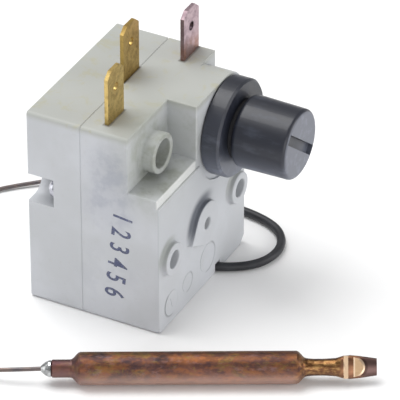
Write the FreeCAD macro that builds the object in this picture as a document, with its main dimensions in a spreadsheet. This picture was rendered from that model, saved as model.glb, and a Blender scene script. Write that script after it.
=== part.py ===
import FreeCAD, Part
import math
import os
import Sketcher

from FreeCAD import Placement, Rotation, Vector

# Safety thermostat: a capillary limiter with a manual reset under a screwed cap.
# X runs from the back to the cap, Y from the near side to the far side, Z up to the blade terminals.

SIZES = [
    ("cover_depth", 11.8, "rear cover, back to parting face"),
    ("box_front", 22.1, "front face of the main box"),
    ("plate_front", 28.44, "front face of the raised front block"),
    ("plate_rise", 0.41, "raised face on the lower front"),
    ("plate_top", 29.4, "upper edge of the raised face"),
    ("recess_knob", 11.26, "corner recess, its wall to the bush axis along Y"),
    ("recess_floor", 31.2, "corner recess, height of its ledge"),
    ("wall", 1.9, "housing wall"),
    ("front_wall", 2.2, "wall behind the front block"),
    ("corner_big", 7.5, "rounding over the bush"),
    ("corner_low", 2.0, "rounding at the lower far edge"),
    ("corner_small", 0.7, "rounding of the other long edges"),
    ("edge_soft", 0.3, "rounding of moulded edges"),
    ("seam_bevel", 0.15, "bevel along the parting line"),
    ("part_gap", 0.05, "clearance between fitted pieces"),
    ("knob_side", 27.76, "bush axis, along Y"),
    ("knob_edge", 8.84, "bush axis to the far side"),
    ("knob_up", 33.25, "bush axis, above the underside"),
    ("knob_top", 10.15, "bush axis to the top"),
    ("collar_radius", 10.06, "ring nut"),
    ("collar_width", 4.06, "ring nut"),
    ("collar_clear", 1.2, "radial space round the ring nut"),
    ("bush_radius", 5.0, "threaded bush, outside"),
    ("bush_reach", 12.5, "threaded bush, beyond the front block"),
    ("bush_flange_radius", 6.6, "flange behind the wall"),
    ("bush_flange_thick", 1.5, "flange behind the wall"),
    ("seal_radius", 6.1, "cap washer, outside"),
    ("seal_width", 0.9, "cap washer"),
    ("cap_room", 0.46, "space between the reset plunger and the cap"),
    ("cap_radius", 7.4, "protective cap at its base"),
    ("cap_tip_radius", 7.17, "protective cap at its end"),
    ("cap_base_round", 1.2, "rounding at the cap's base"),
    ("cap_tip_round", 0.9, "rounding at the cap's end"),
    ("cap_end_wall", 2.0, "cap, end wall"),
    ("coin_slot_width", 2.1, "slot across the cap's end"),
    ("coin_slot_depth", 0.95, "slot across the cap's end"),
    ("coin_slot_turn", -39.0, "slot, degrees about the cap's axis"),
    ("coin_slot_rim", 0.8, "rim left at the ends of the slot"),
    ("fixing_pitch", 28.0, "fixing holes, centre to centre"),
    ("fixing_up", 15.75, "fixing holes, above the underside"),
    ("fixing_hole_radius", 1.9, "fixing hole"),
    ("fixing_hole_depth", 9.0, "fixing hole"),
    ("fixing_boss_radius", 3.4, "fixing boss"),
    ("boss_foot", 0.5, "hollow rounding at the feet of the bosses"),
    ("fixing_boss_rise", 1.25, "fixing boss, beyond the raised face"),
    ("trim_boss_radius", 4.7, "calibration boss"),
    ("trim_corner_turn", 150.5, "square corner of the calibration boss, degrees"),
    ("trim_boss_rise", 1.2, "calibration boss, beyond the raised face"),
    ("trim_hole_radius", 1.25, "calibration hole"),
    ("guide_in", 7.65, "recess boss, axis to the wall of the recess"),
    ("guide_up", 36.2, "recess boss, above the underside"),
    ("guide_boss_radius", 4.15, "recess boss"),
    ("guide_foot", 0.75, "hollow rounding at the recess boss's foot"),
    ("guide_boss_rise", 3.1, "recess boss, beyond the recess wall"),
    ("guide_hole_radius", 3.0, "recess boss hole"),
    ("guide_hole_depth", 6.0, "recess boss hole"),
    ("pit_back", 22.9, "gate pit in the top, along X"),
    ("pit_beside", 4.54, "gate pit in the top, beyond the bush axis"),
    ("pit_radius", 0.5, "gate pit in the top"),
    ("pit_depth", 1.2, "gate pit in the top"),
    ("notch_depth_x", 5.7, "screw notch, along X"),
    ("notch_up", 26.0, "screw notch centre, above the underside"),
    ("notch_radius", 3.15, "screw notch, half its height"),
    ("notch_in", 2.6, "screw notch, centre of its round end from the side"),
    ("screw_in", 2.3, "cover screw axis, from the side"),
    ("screw_head_radius", 2.05, "cover screw head"),
    ("screw_head_height", 1.7, "cover screw head"),
    ("screw_radius", 1.25, "cover screw shank"),
    ("screw_bite", 6.0, "cover screw, depth in the front housing"),
    ("screw_post_radius", 2.6, "post round the cover screw"),
    ("tab_width", 6.3, "blade terminal"),
    ("tab_thick", 0.8, "blade terminal"),
    ("tab_chamfer_side", 1.5, "blade terminal tip, along its width"),
    ("tab_chamfer_up", 1.3, "blade terminal tip, along its height"),
    ("tab_hole_radius", 0.85, "hole in the blade"),
    ("tab_hole_down", 4.2, "hole in the blade, below its tip"),
    ("common_front", 16.5, "common terminal, front face"),
    ("common_side", 2.9, "common terminal, near edge"),
    ("common_rise", 11.4, "common terminal above the top"),
    ("closed_side", 17.9, "main terminal, near edge"),
    ("closed_rise", 11.9, "main terminal above the top"),
    ("signal_front", 18.6, "signal terminal, front face"),
    ("signal_clear", 0.54, "signal terminal beside the reset plunger"),
    ("signal_rise", 10.7, "signal terminal above the top"),
    ("arm_low", 31.6, "lower edge of the contact arms"),
    ("arm_width", 4.5, "width of the contact arms"),
    ("contact_in", 2.3, "contacts, from the near edge of the signal terminal"),
    ("contact_radius", 1.5, "contacts"),
    ("contact_edge", 0.5, "arm beyond the contact"),
    ("contact_thick", 0.5, "moving contact, each side of the blade"),
    ("contact_gap", 1.0, "open gap to the signal contact"),
    ("blade_thick", 0.3, "contact blade"),
    ("blade_end_gap", 0.3, "space between blade and terminal"),
    ("lever_side", 18.3, "trip lever, centre along Y"),
    ("lever_width", 6.0, "trip lever"),
    ("lever_thick", 0.8, "trip lever"),
    ("lever_back", 9.6, "trip lever, back face"),
    ("lever_foot_up", 6.2, "lever pin, above the underside"),
    ("lever_top", 28.4, "trip lever, upper edge"),
    ("lever_pin_radius", 0.75, "lever pin"),
    ("lever_eye_radius", 1.5, "lever eye"),
    ("ear_thick", 1.6, "ear that holds the lever pin"),
    ("ear_gap", 0.35, "side play of the lever"),
    ("capsule_radius", 9.5, "pressure capsule"),
    ("capsule_thick", 1.6, "pressure capsule cup"),
    ("capsule_seat", 0.6, "seat ring under the capsule"),
    ("capsule_rim", 1.6, "pressed rim of the capsule cup"),
    ("capsule_sheet", 0.5, "sheet of the capsule cup"),
    ("diaphragm_rise", 0.7, "diaphragm above its cup"),
    ("diaphragm_thick", 0.25, "diaphragm sheet"),
    ("push_pin_radius", 1.2, "push pin"),
    ("trim_screw_radius", 2.1, "calibration screw"),
    ("trim_screw_length", 6.0, "calibration screw"),
    ("trim_slot_depth", 0.8, "screwdriver slot of the calibration screw"),
    ("trim_slot_width", 0.6, "screwdriver slot of the calibration screw"),
    ("trim_spring_wire", 0.5, "calibration spring wire"),
    ("trim_spring_radius", 1.6, "calibration spring, mean"),
    ("spring_turns", 5, "turns of each spring"),
    ("spring_play", 0.05, "space at each end of a spring"),
    ("plunger_front_radius", 2.0, "reset plunger, front rod"),
    ("plunger_rear_radius", 1.8, "reset plunger, rear rod"),
    ("plunger_head_radius", 3.3, "reset plunger, shoulder"),
    ("plunger_head_thick", 3.0, "reset plunger, shoulder"),
    ("plunger_proud", 2.0, "reset plunger beyond the bush"),
    ("reset_travel", 1.5, "reset stroke"),
    ("bush_front_wall", 3.6, "bush, wall before its chamber"),
    ("bush_bevel", 0.6, "bevel at the bush's end"),
    ("plunger_bevel", 0.4, "bevel at the plunger's tip"),
    ("collar_bevel", 0.45, "bevels of the ring nut"),
    ("spring_seat_thick", 1.2, "washer that closes the bush"),
    ("reset_spring_wire", 0.5, "reset spring wire"),
    ("reset_spring_radius", 2.6, "reset spring, mean"),
    ("groove_side", 24.8, "capillary groove at the front, along Y"),
    ("groove_start_side", 14.5, "capillary groove at its back end, along Y"),
    ("groove_start", 3.3, "capillary groove, its back end along X"),
    ("groove_width", 2.1, "capillary groove"),
    ("sleeve_radius", 0.9, "black sleeve"),
    ("sleeve_hidden", 18.0, "black sleeve inside the groove"),
    ("capillary_radius", 0.42, "bare capillary"),
    ("floor_play", 0.05, "space under what lies on the surface"),
    ("coil_x", -4.4, "put-away coil, centre along X from the back"),
    ("coil_y", 57.0, "put-away coil, centre along Y from the near side"),
    ("coil_radius", 10.8, "put-away coil, middle of its turns"),
    ("tail_length", 19.0, "sleeve from the coil to its cut end"),
    ("coil_turns_across", 3, "turns side by side in the coil"),
    ("coil_layers", 4, "turns above each other in the coil"),
    ("lay_turn", 28.0, "direction of the bulb, degrees about Z"),
    ("bulb_start_right", 2.7, "bulb's joint, along the lay"),
    ("bulb_start_behind", -28.8, "bulb's joint, across the lay"),
    ("bulb_radius", 3.2, "sensing bulb"),
    ("bulb_neck_radius", 1.75, "sensing bulb, necks"),
    ("solder_length", 1.9, "solder at the bulb"),
    ("bulb_neck_length", 3.7, "neck at the capillary"),
    ("bulb_shoulder", 2.0, "shoulders of the bulb"),
    ("bulb_ease", 0.35, "rounding of the shoulders"),
    ("bulb_waist", 0.12, "waist of the neck at the closed end"),
    ("bulb_length", 41.5, "wide part of the bulb"),
    ("bulb_tail_length", 5.4, "neck at the closed end"),
    ("crimp_length", 8.0, "flattened closed end"),
    ("crimp_half_width", 2.3, "flattened closed end"),
    ("crimp_half_thick", 0.85, "flattened closed end"),
    ("crimp_turn", -34.0, "flattened end, degrees about the bulb's axis"),
]


class Size:
    """A length with the expression that gives it, so that code and document say the same thing."""

    def __init__(self, value, text):
        self.value = value
        self.text = text

    def join(self, other, sign, value, swap=False):
        texts = [self.text, other.text if isinstance(other, Size) else repr(float(other))]
        if swap:
            texts.reverse()
        return Size(value, "(" + texts[0] + " " + sign + " " + texts[1] + ")")

    def __add__(self, other):
        return self.join(other, "+", self.value + float(other))

    def __radd__(self, other):
        return self.join(other, "+", float(other) + self.value, swap=True)

    def __sub__(self, other):
        return self.join(other, "-", self.value - float(other))

    def __rsub__(self, other):
        return self.join(other, "-", float(other) - self.value, swap=True)

    def __mul__(self, other):
        return self.join(other, "*", self.value * float(other))

    def __rmul__(self, other):
        return self.join(other, "*", float(other) * self.value, swap=True)

    def __truediv__(self, other):
        return self.join(other, "/", self.value / float(other))

    def __neg__(self):
        return Size(-self.value, "(0 - " + self.text + ")")

    def __float__(self):
        return float(self.value)


def expression(size):
    return size.text if isinstance(size, Size) else repr(float(size))


doc = FreeCAD.newDocument("SafetyThermostat")
sheet = doc.addObject("Spreadsheet::Sheet", "Sizes")
for row, (name, value, note) in enumerate(SIZES, start=1):
    sheet.set("A" + str(row), name)
    sheet.set("B" + str(row), str(value))
    sheet.set("C" + str(row), note)
    sheet.setAlias("B" + str(row), name)
doc.recompute()


def size(name):
    return Size(float(sheet.get(name)), "Sizes." + name)


# Places that more than one piece uses.
parting = size("cover_depth")
box_front = size("box_front")
block_front = size("plate_front")
face_front = block_front + size("plate_rise")
wall = size("wall")
gap = size("part_gap")
knob_y = size("knob_side")
knob_z = size("knob_up")
case_y = knob_y + size("knob_edge")
case_z = knob_z + size("knob_top")
recess_y = knob_y - size("recess_knob")
signal_side = knob_y + size("plunger_rear_radius") + size("signal_clear")
contact_side = signal_side + size("contact_in")
guide_y = recess_y - size("guide_in")
collar_front = block_front + size("collar_width")
cap_back = collar_front + size("seal_width")
bush_end = block_front + size("bush_reach")
plunger_tip = bush_end + size("plunger_proud")
cap_front = plunger_tip + size("cap_room") + size("cap_end_wall")
cap_length = cap_front - cap_back
trim_y = case_y / 2
trim_z = size("fixing_up")
block_inside = block_front - size("front_wall")
box_inside = box_front - wall
far_side = knob_y + size("collar_radius")

# The origin lies under the middle of the object, on the surface that it stands on.
origin_x = cap_front / 2
origin_y = far_side / 2

sub_parts = []


def place(item, label, x=0.0, y=0.0, z=0.0, shift=True):
    """Names a sub-part and puts it at its place in the object's frame."""
    item.Label = label
    for axis, at, start in (("x", x, origin_x), ("y", y, origin_y), ("z", z, None)):
        text = expression(at)
        if shift and start is not None:
            text = text + " - " + start.text
        item.setExpression("Placement.Base." + axis, text)
    sub_parts.append(item)
    return item


def new_body(name):
    return doc.addObject("PartDesign::Body", name)


def new_sketch(body, plane, offset=0.0):
    """A sketch on one of the body's own origin planes, moved along the plane's normal."""
    sketch = body.newObject("Sketcher::SketchObject", body.Name + "Sketch")
    support = next(item for item in body.Origin.OriginFeatures if item.Role == plane)
    sketch.AttachmentSupport = [(support, "")]
    sketch.MapMode = "FlatFace"
    sketch.setExpression("AttachmentOffset.Base.z", expression(offset))
    return sketch


def pin_point(sketch, piece, end, across, up):
    """Holds one end of a sketch line at a distance from the sketch's origin."""
    for kind, axis, at in (("DistanceX", -2, across), ("DistanceY", -1, up)):
        if float(at) == 0.0 and not isinstance(at, Size):
            sketch.addConstraint(Sketcher.Constraint("PointOnObject", piece, end, axis))
            continue
        index = sketch.addConstraint(Sketcher.Constraint(kind, -1, 1, piece, end, float(at)))
        if isinstance(at, Size):
            sketch.setExpression("Constraints[" + str(index) + "]", at.text)


def outline(sketch, points):
    """A closed outline of straight lines through points that the sizes drive."""
    first = sketch.GeometryCount
    count = len(points)
    for index in range(count):
        start = points[index]
        end = points[(index + 1) % count]
        line = Part.LineSegment(
            Vector(float(start[0]), float(start[1]), 0), Vector(float(end[0]), float(end[1]), 0)
        )
        sketch.addGeometry(line, False)
    for index in range(count):
        following = first + (index + 1) % count
        sketch.addConstraint(Sketcher.Constraint("Coincident", first + index, 2, following, 1))
    for index, (across, up) in enumerate(points):
        pin_point(sketch, first + index, 1, across, up)


def box_outline(sketch, low_x, high_x, low_y, high_y):
    outline(sketch, [(low_x, low_y), (high_x, low_y), (high_x, high_y), (low_x, high_y)])


def ring(sketch, across, up, radius):
    """A circle whose centre and radius the sizes drive."""
    circle = Part.Circle(Vector(float(across), float(up), 0), Vector(0, 0, 1), float(radius))
    index = sketch.addGeometry(circle, False)
    pin_point(sketch, index, 3, across, up)
    held = sketch.addConstraint(Sketcher.Constraint("Radius", index, float(radius)))
    if isinstance(radius, Size):
        sketch.setExpression("Constraints[" + str(held) + "]", radius.text)


def pad(body, sketch, length, backwards=False):
    feature = body.newObject("PartDesign::Pad", body.Name + "Pad")
    feature.Profile = sketch
    feature.setExpression("Length", expression(length))
    feature.Reversed = backwards
    doc.recompute()
    return feature


def pocket(body, sketch, depth, forwards=False):
    """Cuts against the sketch plane's normal, or along it."""
    before = body.Shape.Volume
    feature = body.newObject("PartDesign::Pocket", body.Name + "Pocket")
    feature.Profile = sketch
    feature.setExpression("Length", expression(depth))
    feature.Reversed = forwards
    doc.recompute()
    if not body.Shape.Volume < before:
        raise RuntimeError(body.Name + ": a pocket cuts nothing")
    return feature


def round_edges(body, radius, chosen, chamfer=False):
    """Rounds the edges that the test picks, or bevels them."""
    names = []
    for index, edge in enumerate(body.Shape.Edges, start=1):
        if chosen(edge):
            names.append("Edge" + str(index))
    if not names:
        raise RuntimeError(body.Name + ": no edge to round")
    kind = "Chamfer" if chamfer else "Fillet"
    rounded = body.Tip
    feature = body.newObject("PartDesign::" + kind, body.Name + kind)
    feature.Base = (rounded, names)
    feature.setExpression("Size" if chamfer else "Radius", expression(radius))
    doc.recompute()
    return feature


def turned(name, profile):
    """A body turned about the X axis from an outline of (along, radius) points."""
    body = new_body(name)
    sketch = new_sketch(body, "XZ_Plane")
    outline(sketch, profile)
    feature = body.newObject("PartDesign::Revolution", name + "Turn")
    feature.Profile = sketch
    feature.ReferenceAxis = (sketch, ["H_Axis"])
    feature.Angle = 360.0
    doc.recompute()
    return body


def cylinder_x(name, radius, low, high, y, z):
    """A rod along X."""
    rod = doc.addObject("Part::Cylinder", name)
    rod.setExpression("Radius", expression(radius))
    rod.setExpression("Height", expression(high - low))
    rod.Placement = Placement(Vector(0, 0, 0), Rotation(Vector(0, 1, 0), 90))
    for axis, at in (("x", low), ("y", y), ("z", z)):
        rod.setExpression("Placement.Base." + axis, expression(at))
    return rod


def block(name, low, high):
    """A box between two corners."""
    solid = doc.addObject("Part::Box", name)
    for key, axis, near, far in zip(("Length", "Width", "Height"), "xyz", low, high):
        solid.setExpression(key, expression(far - near))
        solid.setExpression("Placement.Base." + axis, expression(near))
    return solid


def joined(name, pieces):
    fuse = doc.addObject("Part::MultiFuse", name)
    fuse.Shapes = pieces
    fuse.Refine = True
    return fuse


def cut(name, base, tool):
    result = doc.addObject("Part::Cut", name)
    result.Base = base
    result.Tool = tool
    return result


def along_x(edge):
    ends = [vertex.Point for vertex in edge.Vertexes]
    return len(ends) == 2 and (ends[1] - ends[0]).cross(Vector(1, 0, 0)).Length < 1e-6


def near(value, target):
    return abs(value - float(target)) < 1e-4


def edge_at(y, z):
    """Picks the edges along X that stand at one point of the YZ plane."""

    def chosen(edge):
        middle = edge.CenterOfMass
        return along_x(edge) and near(middle.y, y) and near(middle.z, z)

    return chosen


def rim_at(x, y, z, radius):
    """Picks a circle that stands square to X, by its centre and radius."""

    def chosen(edge):
        curve = edge.Curve
        if not isinstance(curve, Part.Circle) or not near(curve.Radius, radius):
            return False
        centre = curve.Center
        return near(centre.x, x) and near(centre.y, y) and near(centre.z, z)

    return chosen


def edge_between(low, high):
    """Picks the edges that lie whole in the box between two corners, give or take a hair."""

    def chosen(edge):
        box = edge.BoundBox
        inside_x = box.XMin > float(low[0]) - 0.01 and box.XMax < float(high[0]) + 0.01
        inside_y = box.YMin > float(low[1]) - 0.01 and box.YMax < float(high[1]) + 0.01
        inside_z = box.ZMin > float(low[2]) - 0.01 and box.ZMax < float(high[2]) + 0.01
        return inside_x and inside_y and inside_z

    return chosen


# Front housing: a moulded box with a raised block, open at the parting face.
front = new_body("FrontHousing")
section = new_sketch(front, "YZ_Plane", box_front)
outline(
    section,
    [
        (0.0, 0.0),
        (case_y, 0.0),
        (case_y, case_z),
        (recess_y, case_z),
        (recess_y, size("recess_floor")),
        (0.0, size("recess_floor")),
    ],
)
pad(front, section, block_front - box_front)
round_edges(front, size("corner_big"), edge_at(case_y, case_z))
section = new_sketch(front, "YZ_Plane", parting)
box_outline(section, 0.0, case_y, 0.0, case_z)
pad(front, section, box_front - parting)
round_edges(front, size("corner_low"), edge_at(case_y, 0.0))
round_edges(front, size("corner_small"), edge_at(0.0, 0.0))
round_edges(front, size("corner_small"), edge_at(0.0, case_z))
section = new_sketch(front, "YZ_Plane", block_front)
outline(
    section,
    [
        (size("corner_small"), 0.0),
        (case_y - size("corner_low"), 0.0),
        (case_y, size("corner_low")),
        (case_y, size("plate_top")),
        (0.0, size("plate_top")),
        (0.0, size("corner_small")),
    ],
)
pad(front, section, size("plate_rise"))
section = new_sketch(front, "YZ_Plane", face_front)
ring(section, knob_y, knob_z, size("collar_radius") + size("collar_clear"))
pocket(front, section, size("plate_rise"))

# The cavity reaches deeper behind the raised block.
section = new_sketch(front, "YZ_Plane", parting)
box_outline(section, wall, case_y - wall, wall, case_z - wall)
pocket(front, section, box_inside - parting, forwards=True)
section = new_sketch(front, "YZ_Plane", box_inside)
big_inner = size("corner_big") - wall
outline(
    section,
    [
        (wall, wall),
        (case_y - wall, wall),
        (case_y - wall, case_z - size("corner_big")),
        (case_y - size("corner_big"), case_z - wall),
        (recess_y + wall, case_z - wall),
        (recess_y + wall, size("recess_floor") - wall),
        (wall, size("recess_floor") - wall),
    ],
)
pocket(front, section, block_inside - box_inside, forwards=True)

# Bosses stand through the front wall as hollow posts.
near_fixing = trim_y - size("fixing_pitch") / 2
far_fixing = trim_y + size("fixing_pitch") / 2
fixing_face = face_front + size("fixing_boss_rise")
fixing_post_back = fixing_face - size("fixing_hole_depth") - wall
section = new_sketch(front, "YZ_Plane", fixing_face)
ring(section, near_fixing, trim_z, size("fixing_boss_radius"))
ring(section, far_fixing, trim_z, size("fixing_boss_radius"))
pad(front, section, fixing_face - fixing_post_back, backwards=True)
trim_face = face_front + size("trim_boss_rise")
trim_post_back = block_inside - size("trim_screw_length") - wall
section = new_sketch(front, "YZ_Plane", trim_face)
ring(section, trim_y, trim_z, size("trim_boss_radius"))
pad(front, section, trim_face - trim_post_back, backwards=True)
section = new_sketch(front, "YZ_Plane", trim_face)
section.setExpression("AttachmentOffset.Base.x", trim_y.text)
section.setExpression("AttachmentOffset.Base.y", trim_z.text)
section.setExpression("AttachmentOffset.Rotation.Angle", size("trim_corner_turn").text)
box_outline(section, 0.0, size("trim_boss_radius"), 0.0, size("trim_boss_radius"))
pad(front, section, size("trim_boss_rise"), backwards=True)
guide_face = box_front + size("guide_boss_rise")
guide_floor = guide_face - size("guide_hole_depth")
section = new_sketch(front, "YZ_Plane", guide_face)
ring(section, guide_y, size("guide_up"), size("guide_boss_radius"))
pad(front, section, size("guide_boss_rise") + wall, backwards=True)
section = new_sketch(front, "YZ_Plane", box_inside)
ring(section, guide_y, size("guide_up"), size("guide_boss_radius"))
pad(front, section, box_inside - guide_floor + wall / 2, backwards=True)
screw_post_front = parting + size("screw_bite") + wall / 2
section = new_sketch(front, "YZ_Plane", parting)
near_screw = size("screw_in")
far_screw = case_y - size("screw_in")
for screw_y, side in ((near_screw, 0.0), (far_screw, case_y)):
    low = side if side == 0.0 else far_screw - size("screw_post_radius")
    high = near_screw + size("screw_post_radius") if side == 0.0 else side
    up = size("notch_up")
    radius = size("screw_post_radius")
    box_outline(section, low, high, up - radius, up + radius)
pad(front, section, screw_post_front - parting)

# Holes.
section = new_sketch(front, "YZ_Plane", fixing_face)
ring(section, near_fixing, trim_z, size("fixing_hole_radius"))
ring(section, far_fixing, trim_z, size("fixing_hole_radius"))
pocket(front, section, size("fixing_hole_depth"))
section = new_sketch(front, "YZ_Plane", trim_face)
ring(section, trim_y, trim_z, size("trim_hole_radius"))
pocket(front, section, trim_face - trim_post_back)
section = new_sketch(front, "YZ_Plane", trim_post_back)
ring(section, trim_y, trim_z, size("trim_screw_radius") + gap)
pocket(front, section, block_inside - trim_post_back, forwards=True)
section = new_sketch(front, "YZ_Plane", guide_face)
ring(section, guide_y, size("guide_up"), size("guide_hole_radius"))
pocket(front, section, size("guide_hole_depth"))
section = new_sketch(front, "YZ_Plane", parting)
ring(section, near_screw, size("notch_up"), size("screw_radius") + gap)
ring(section, far_screw, size("notch_up"), size("screw_radius") + gap)
pocket(front, section, size("screw_bite"), forwards=True)
section = new_sketch(front, "YZ_Plane", face_front)
ring(section, knob_y, knob_z, size("bush_radius") + gap)
pocket(front, section, face_front - block_inside)

# Groove for the capillary across the underside, at a slant.
groove_slope = (size("groove_side") - size("groove_start_side")) / (face_front - size("groove_start"))
groove_half = size("groove_width") / 2


def groove_middle(x):
    return size("groove_start_side") + groove_slope * (x - size("groove_start"))


def groove_outline(sketch, low_x, high_x):
    low_y = groove_middle(low_x)
    high_y = groove_middle(high_x)
    outline(
        sketch,
        [
            (low_x, low_y - groove_half),
            (high_x, high_y - groove_half),
            (high_x, high_y + groove_half),
            (low_x, low_y + groove_half),
        ],
    )


section = new_sketch(front, "XY_Plane")
groove_outline(section, parting, face_front)
pocket(front, section, size("groove_width"), forwards=True)

# Slots in the top for the two terminals that stand in the front housing.
common_back = size("common_front") - size("tab_thick")
signal_back = size("signal_front") - size("tab_thick")
for back, front_face, side, depth in (
    (common_back, size("common_front"), size("common_side"), wall),
    (signal_back, size("signal_front"), signal_side, case_z - size("arm_low")),
):
    section = new_sketch(front, "XY_Plane", case_z)
    box_outline(section, back, front_face, side, side + size("tab_width"))
    pocket(front, section, depth)
section = new_sketch(front, "XY_Plane", case_z)
ring(section, size("pit_back"), knob_y + size("pit_beside"), size("pit_radius"))
pocket(front, section, size("pit_depth"))

# Moulded edges are soft, and the bosses stand on hollow roundings.
soft = size("edge_soft")
for boss_y, boss_z, boss_front, boss_radius, hole_radius in (
    (near_fixing, trim_z, fixing_face, size("fixing_boss_radius"), size("fixing_hole_radius")),
    (far_fixing, trim_z, fixing_face, size("fixing_boss_radius"), size("fixing_hole_radius")),
    (guide_y, size("guide_up"), guide_face, size("guide_boss_radius"), size("guide_hole_radius")),
):
    round_edges(front, soft, rim_at(boss_front, boss_y, boss_z, boss_radius))
    round_edges(front, soft, rim_at(boss_front, boss_y, boss_z, hole_radius))
guide_rim = rim_at(box_front, guide_y, size("guide_up"), size("guide_boss_radius"))
round_edges(front, size("guide_foot"), guide_rim)
for boss_y in (near_fixing, far_fixing):
    round_edges(front, size("boss_foot"), rim_at(face_front, boss_y, trim_z, size("fixing_boss_radius")))
trim_low = (trim_y - size("trim_boss_radius") * 1.6, trim_z - size("trim_boss_radius") * 1.6)
trim_high = (trim_y + size("trim_boss_radius") * 1.6, trim_z + size("trim_boss_radius") * 1.6)
round_edges(front, size("boss_foot"), edge_between((face_front, *trim_low), (face_front, *trim_high)))
round_edges(front, soft, edge_between((trim_face, *trim_low), (trim_face, *trim_high)))


def upper_edge(edge):
    """The edges of the raised block and of its corner recess."""
    box = edge.BoundBox
    floor = size("recess_floor")
    recess = (
        edge_between((box_front, 0.0, case_z), (box_front, recess_y, case_z)),
        edge_between((box_front, recess_y, case_z), (block_front, recess_y, case_z)),
        edge_between((block_front, recess_y, floor), (block_front, recess_y, case_z)),
        edge_between((block_front, 0.0, floor), (block_front, recess_y, floor)),
        edge_between((box_front, 0.0, floor), (block_front, 0.0, floor)),
        edge_between((box_front, 0.0, floor), (box_front, size("corner_small"), case_z)),
    )
    if any(chosen(edge) for chosen in recess):
        return True
    on_block = near(box.XMin, block_front) and near(box.XMax, block_front)
    return on_block and (near(box.ZMax, case_z) or (near(box.YMin, case_y) and near(box.YMax, case_y)))


def seam_edge(edge):
    """The outer edges that meet at the parting line."""
    box = edge.BoundBox
    if not (near(box.XMin, parting) and near(box.XMax, parting)):
        return False
    flat = (near(box.YMax, 0.0), near(box.YMin, case_y), near(box.ZMin, case_z))
    low_corner = box.ZMax < float(size("corner_low")) + 0.1
    high_corner = box.ZMin > float(case_z - size("corner_small")) - 0.1
    at_near_side = box.YMax < float(size("corner_small")) + 0.1
    at_far_side = box.YMin > float(case_y - size("corner_low")) - 0.1
    return any(flat) or ((low_corner or high_corner) and (at_near_side or at_far_side))


round_edges(front, soft, upper_edge)
round_edges(front, size("seam_bevel"), seam_edge, chamfer=True)
plate_soft = size("plate_rise") / 2
round_edges(front, plate_soft, edge_between((face_front, 0.0, 0.0), (face_front, 0.0, case_z)))
round_edges(front, plate_soft, edge_between((face_front, case_y, 0.0), (face_front, case_y, case_z)))
top_start = (face_front, 0.0, size("plate_top"))
top_end = (face_front, case_y, size("plate_top"))
round_edges(front, plate_soft, edge_between(top_start, top_end))
round_edges(front, plate_soft, edge_between((face_front, 0.0, 0.0), (face_front, case_y, 0.0)))
place(front, "front_housing")

# Rear cover: a moulded tray with a notch for a screw head on each side.
rear = new_body("RearCover")
section = new_sketch(rear, "YZ_Plane")
box_outline(section, 0.0, case_y, 0.0, case_z)
pad(rear, section, parting)
round_edges(rear, size("corner_low"), edge_at(case_y, 0.0))
round_edges(rear, size("corner_small"), edge_at(0.0, 0.0))
round_edges(rear, size("corner_small"), edge_at(0.0, case_z))
section = new_sketch(rear, "YZ_Plane", parting)
box_outline(section, wall, case_y - wall, wall, case_z - wall)
pocket(rear, section, parting - wall)

notch_low = size("notch_up") - size("notch_radius")
notch_high = size("notch_up") + size("notch_radius")
notch_reach = size("notch_in") + size("notch_radius")
section = new_sketch(rear, "YZ_Plane", parting)
box_outline(section, 0.0, notch_reach + wall, notch_low - wall, notch_high + wall)
box_outline(section, case_y - notch_reach - wall, case_y, notch_low - wall, notch_high + wall)
pad(rear, section, parting, backwards=True)
section = new_sketch(rear, "YZ_Plane")
box_outline(section, 0.0, size("notch_in"), notch_low, notch_high)
box_outline(section, case_y - size("notch_in"), case_y, notch_low, notch_high)
pocket(rear, section, size("notch_depth_x"), forwards=True)
section = new_sketch(rear, "YZ_Plane")
ring(section, size("notch_in"), size("notch_up"), size("notch_radius"))
ring(section, case_y - size("notch_in"), size("notch_up"), size("notch_radius"))
pocket(rear, section, size("notch_depth_x"), forwards=True)
section = new_sketch(rear, "YZ_Plane", parting)
ring(section, near_screw, size("notch_up"), size("screw_radius") + gap)
ring(section, far_screw, size("notch_up"), size("screw_radius") + gap)
pocket(rear, section, parting - size("notch_depth_x"))

# Seat for the capsule and two ears for the lever pin.
capsule_back = wall + size("capsule_seat")
section = new_sketch(rear, "YZ_Plane", wall)
ring(section, trim_y, trim_z, size("capsule_radius") / 2)
pad(rear, section, size("capsule_seat"))
lever_pin_x = size("lever_back") + size("lever_thick") / 2
lever_low = size("lever_side") - size("lever_width") / 2
lever_high = size("lever_side") + size("lever_width") / 2
near_ear = lever_low - size("ear_gap")
far_ear = lever_high + size("ear_gap")
ear_top = size("lever_foot_up") + size("lever_eye_radius")
ear_front = lever_pin_x + size("lever_eye_radius")
ear_back = lever_pin_x - size("lever_eye_radius")
section = new_sketch(rear, "XY_Plane", wall)
box_outline(section, ear_back, ear_front, near_ear - size("ear_thick"), near_ear)
box_outline(section, ear_back, ear_front, far_ear, far_ear + size("ear_thick"))
pad(rear, section, ear_top - wall)
section = new_sketch(rear, "XZ_Plane", -(near_ear - size("ear_thick")))
ring(section, lever_pin_x, size("lever_foot_up"), size("lever_pin_radius") + gap)
pocket(rear, section, far_ear + size("ear_thick") - near_ear + size("ear_thick"))

# The back half of the capillary groove, and the slot of the main terminal.
section = new_sketch(rear, "XY_Plane")
groove_outline(section, size("groove_start") - groove_half, parting)
pocket(rear, section, size("groove_width"), forwards=True)
closed_front = parting
closed_back = parting - size("tab_thick")
section = new_sketch(rear, "XY_Plane", case_z)
box_outline(
    section, closed_back, closed_front, size("closed_side"), size("closed_side") + size("tab_width")
)
pocket(rear, section, wall)


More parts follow.
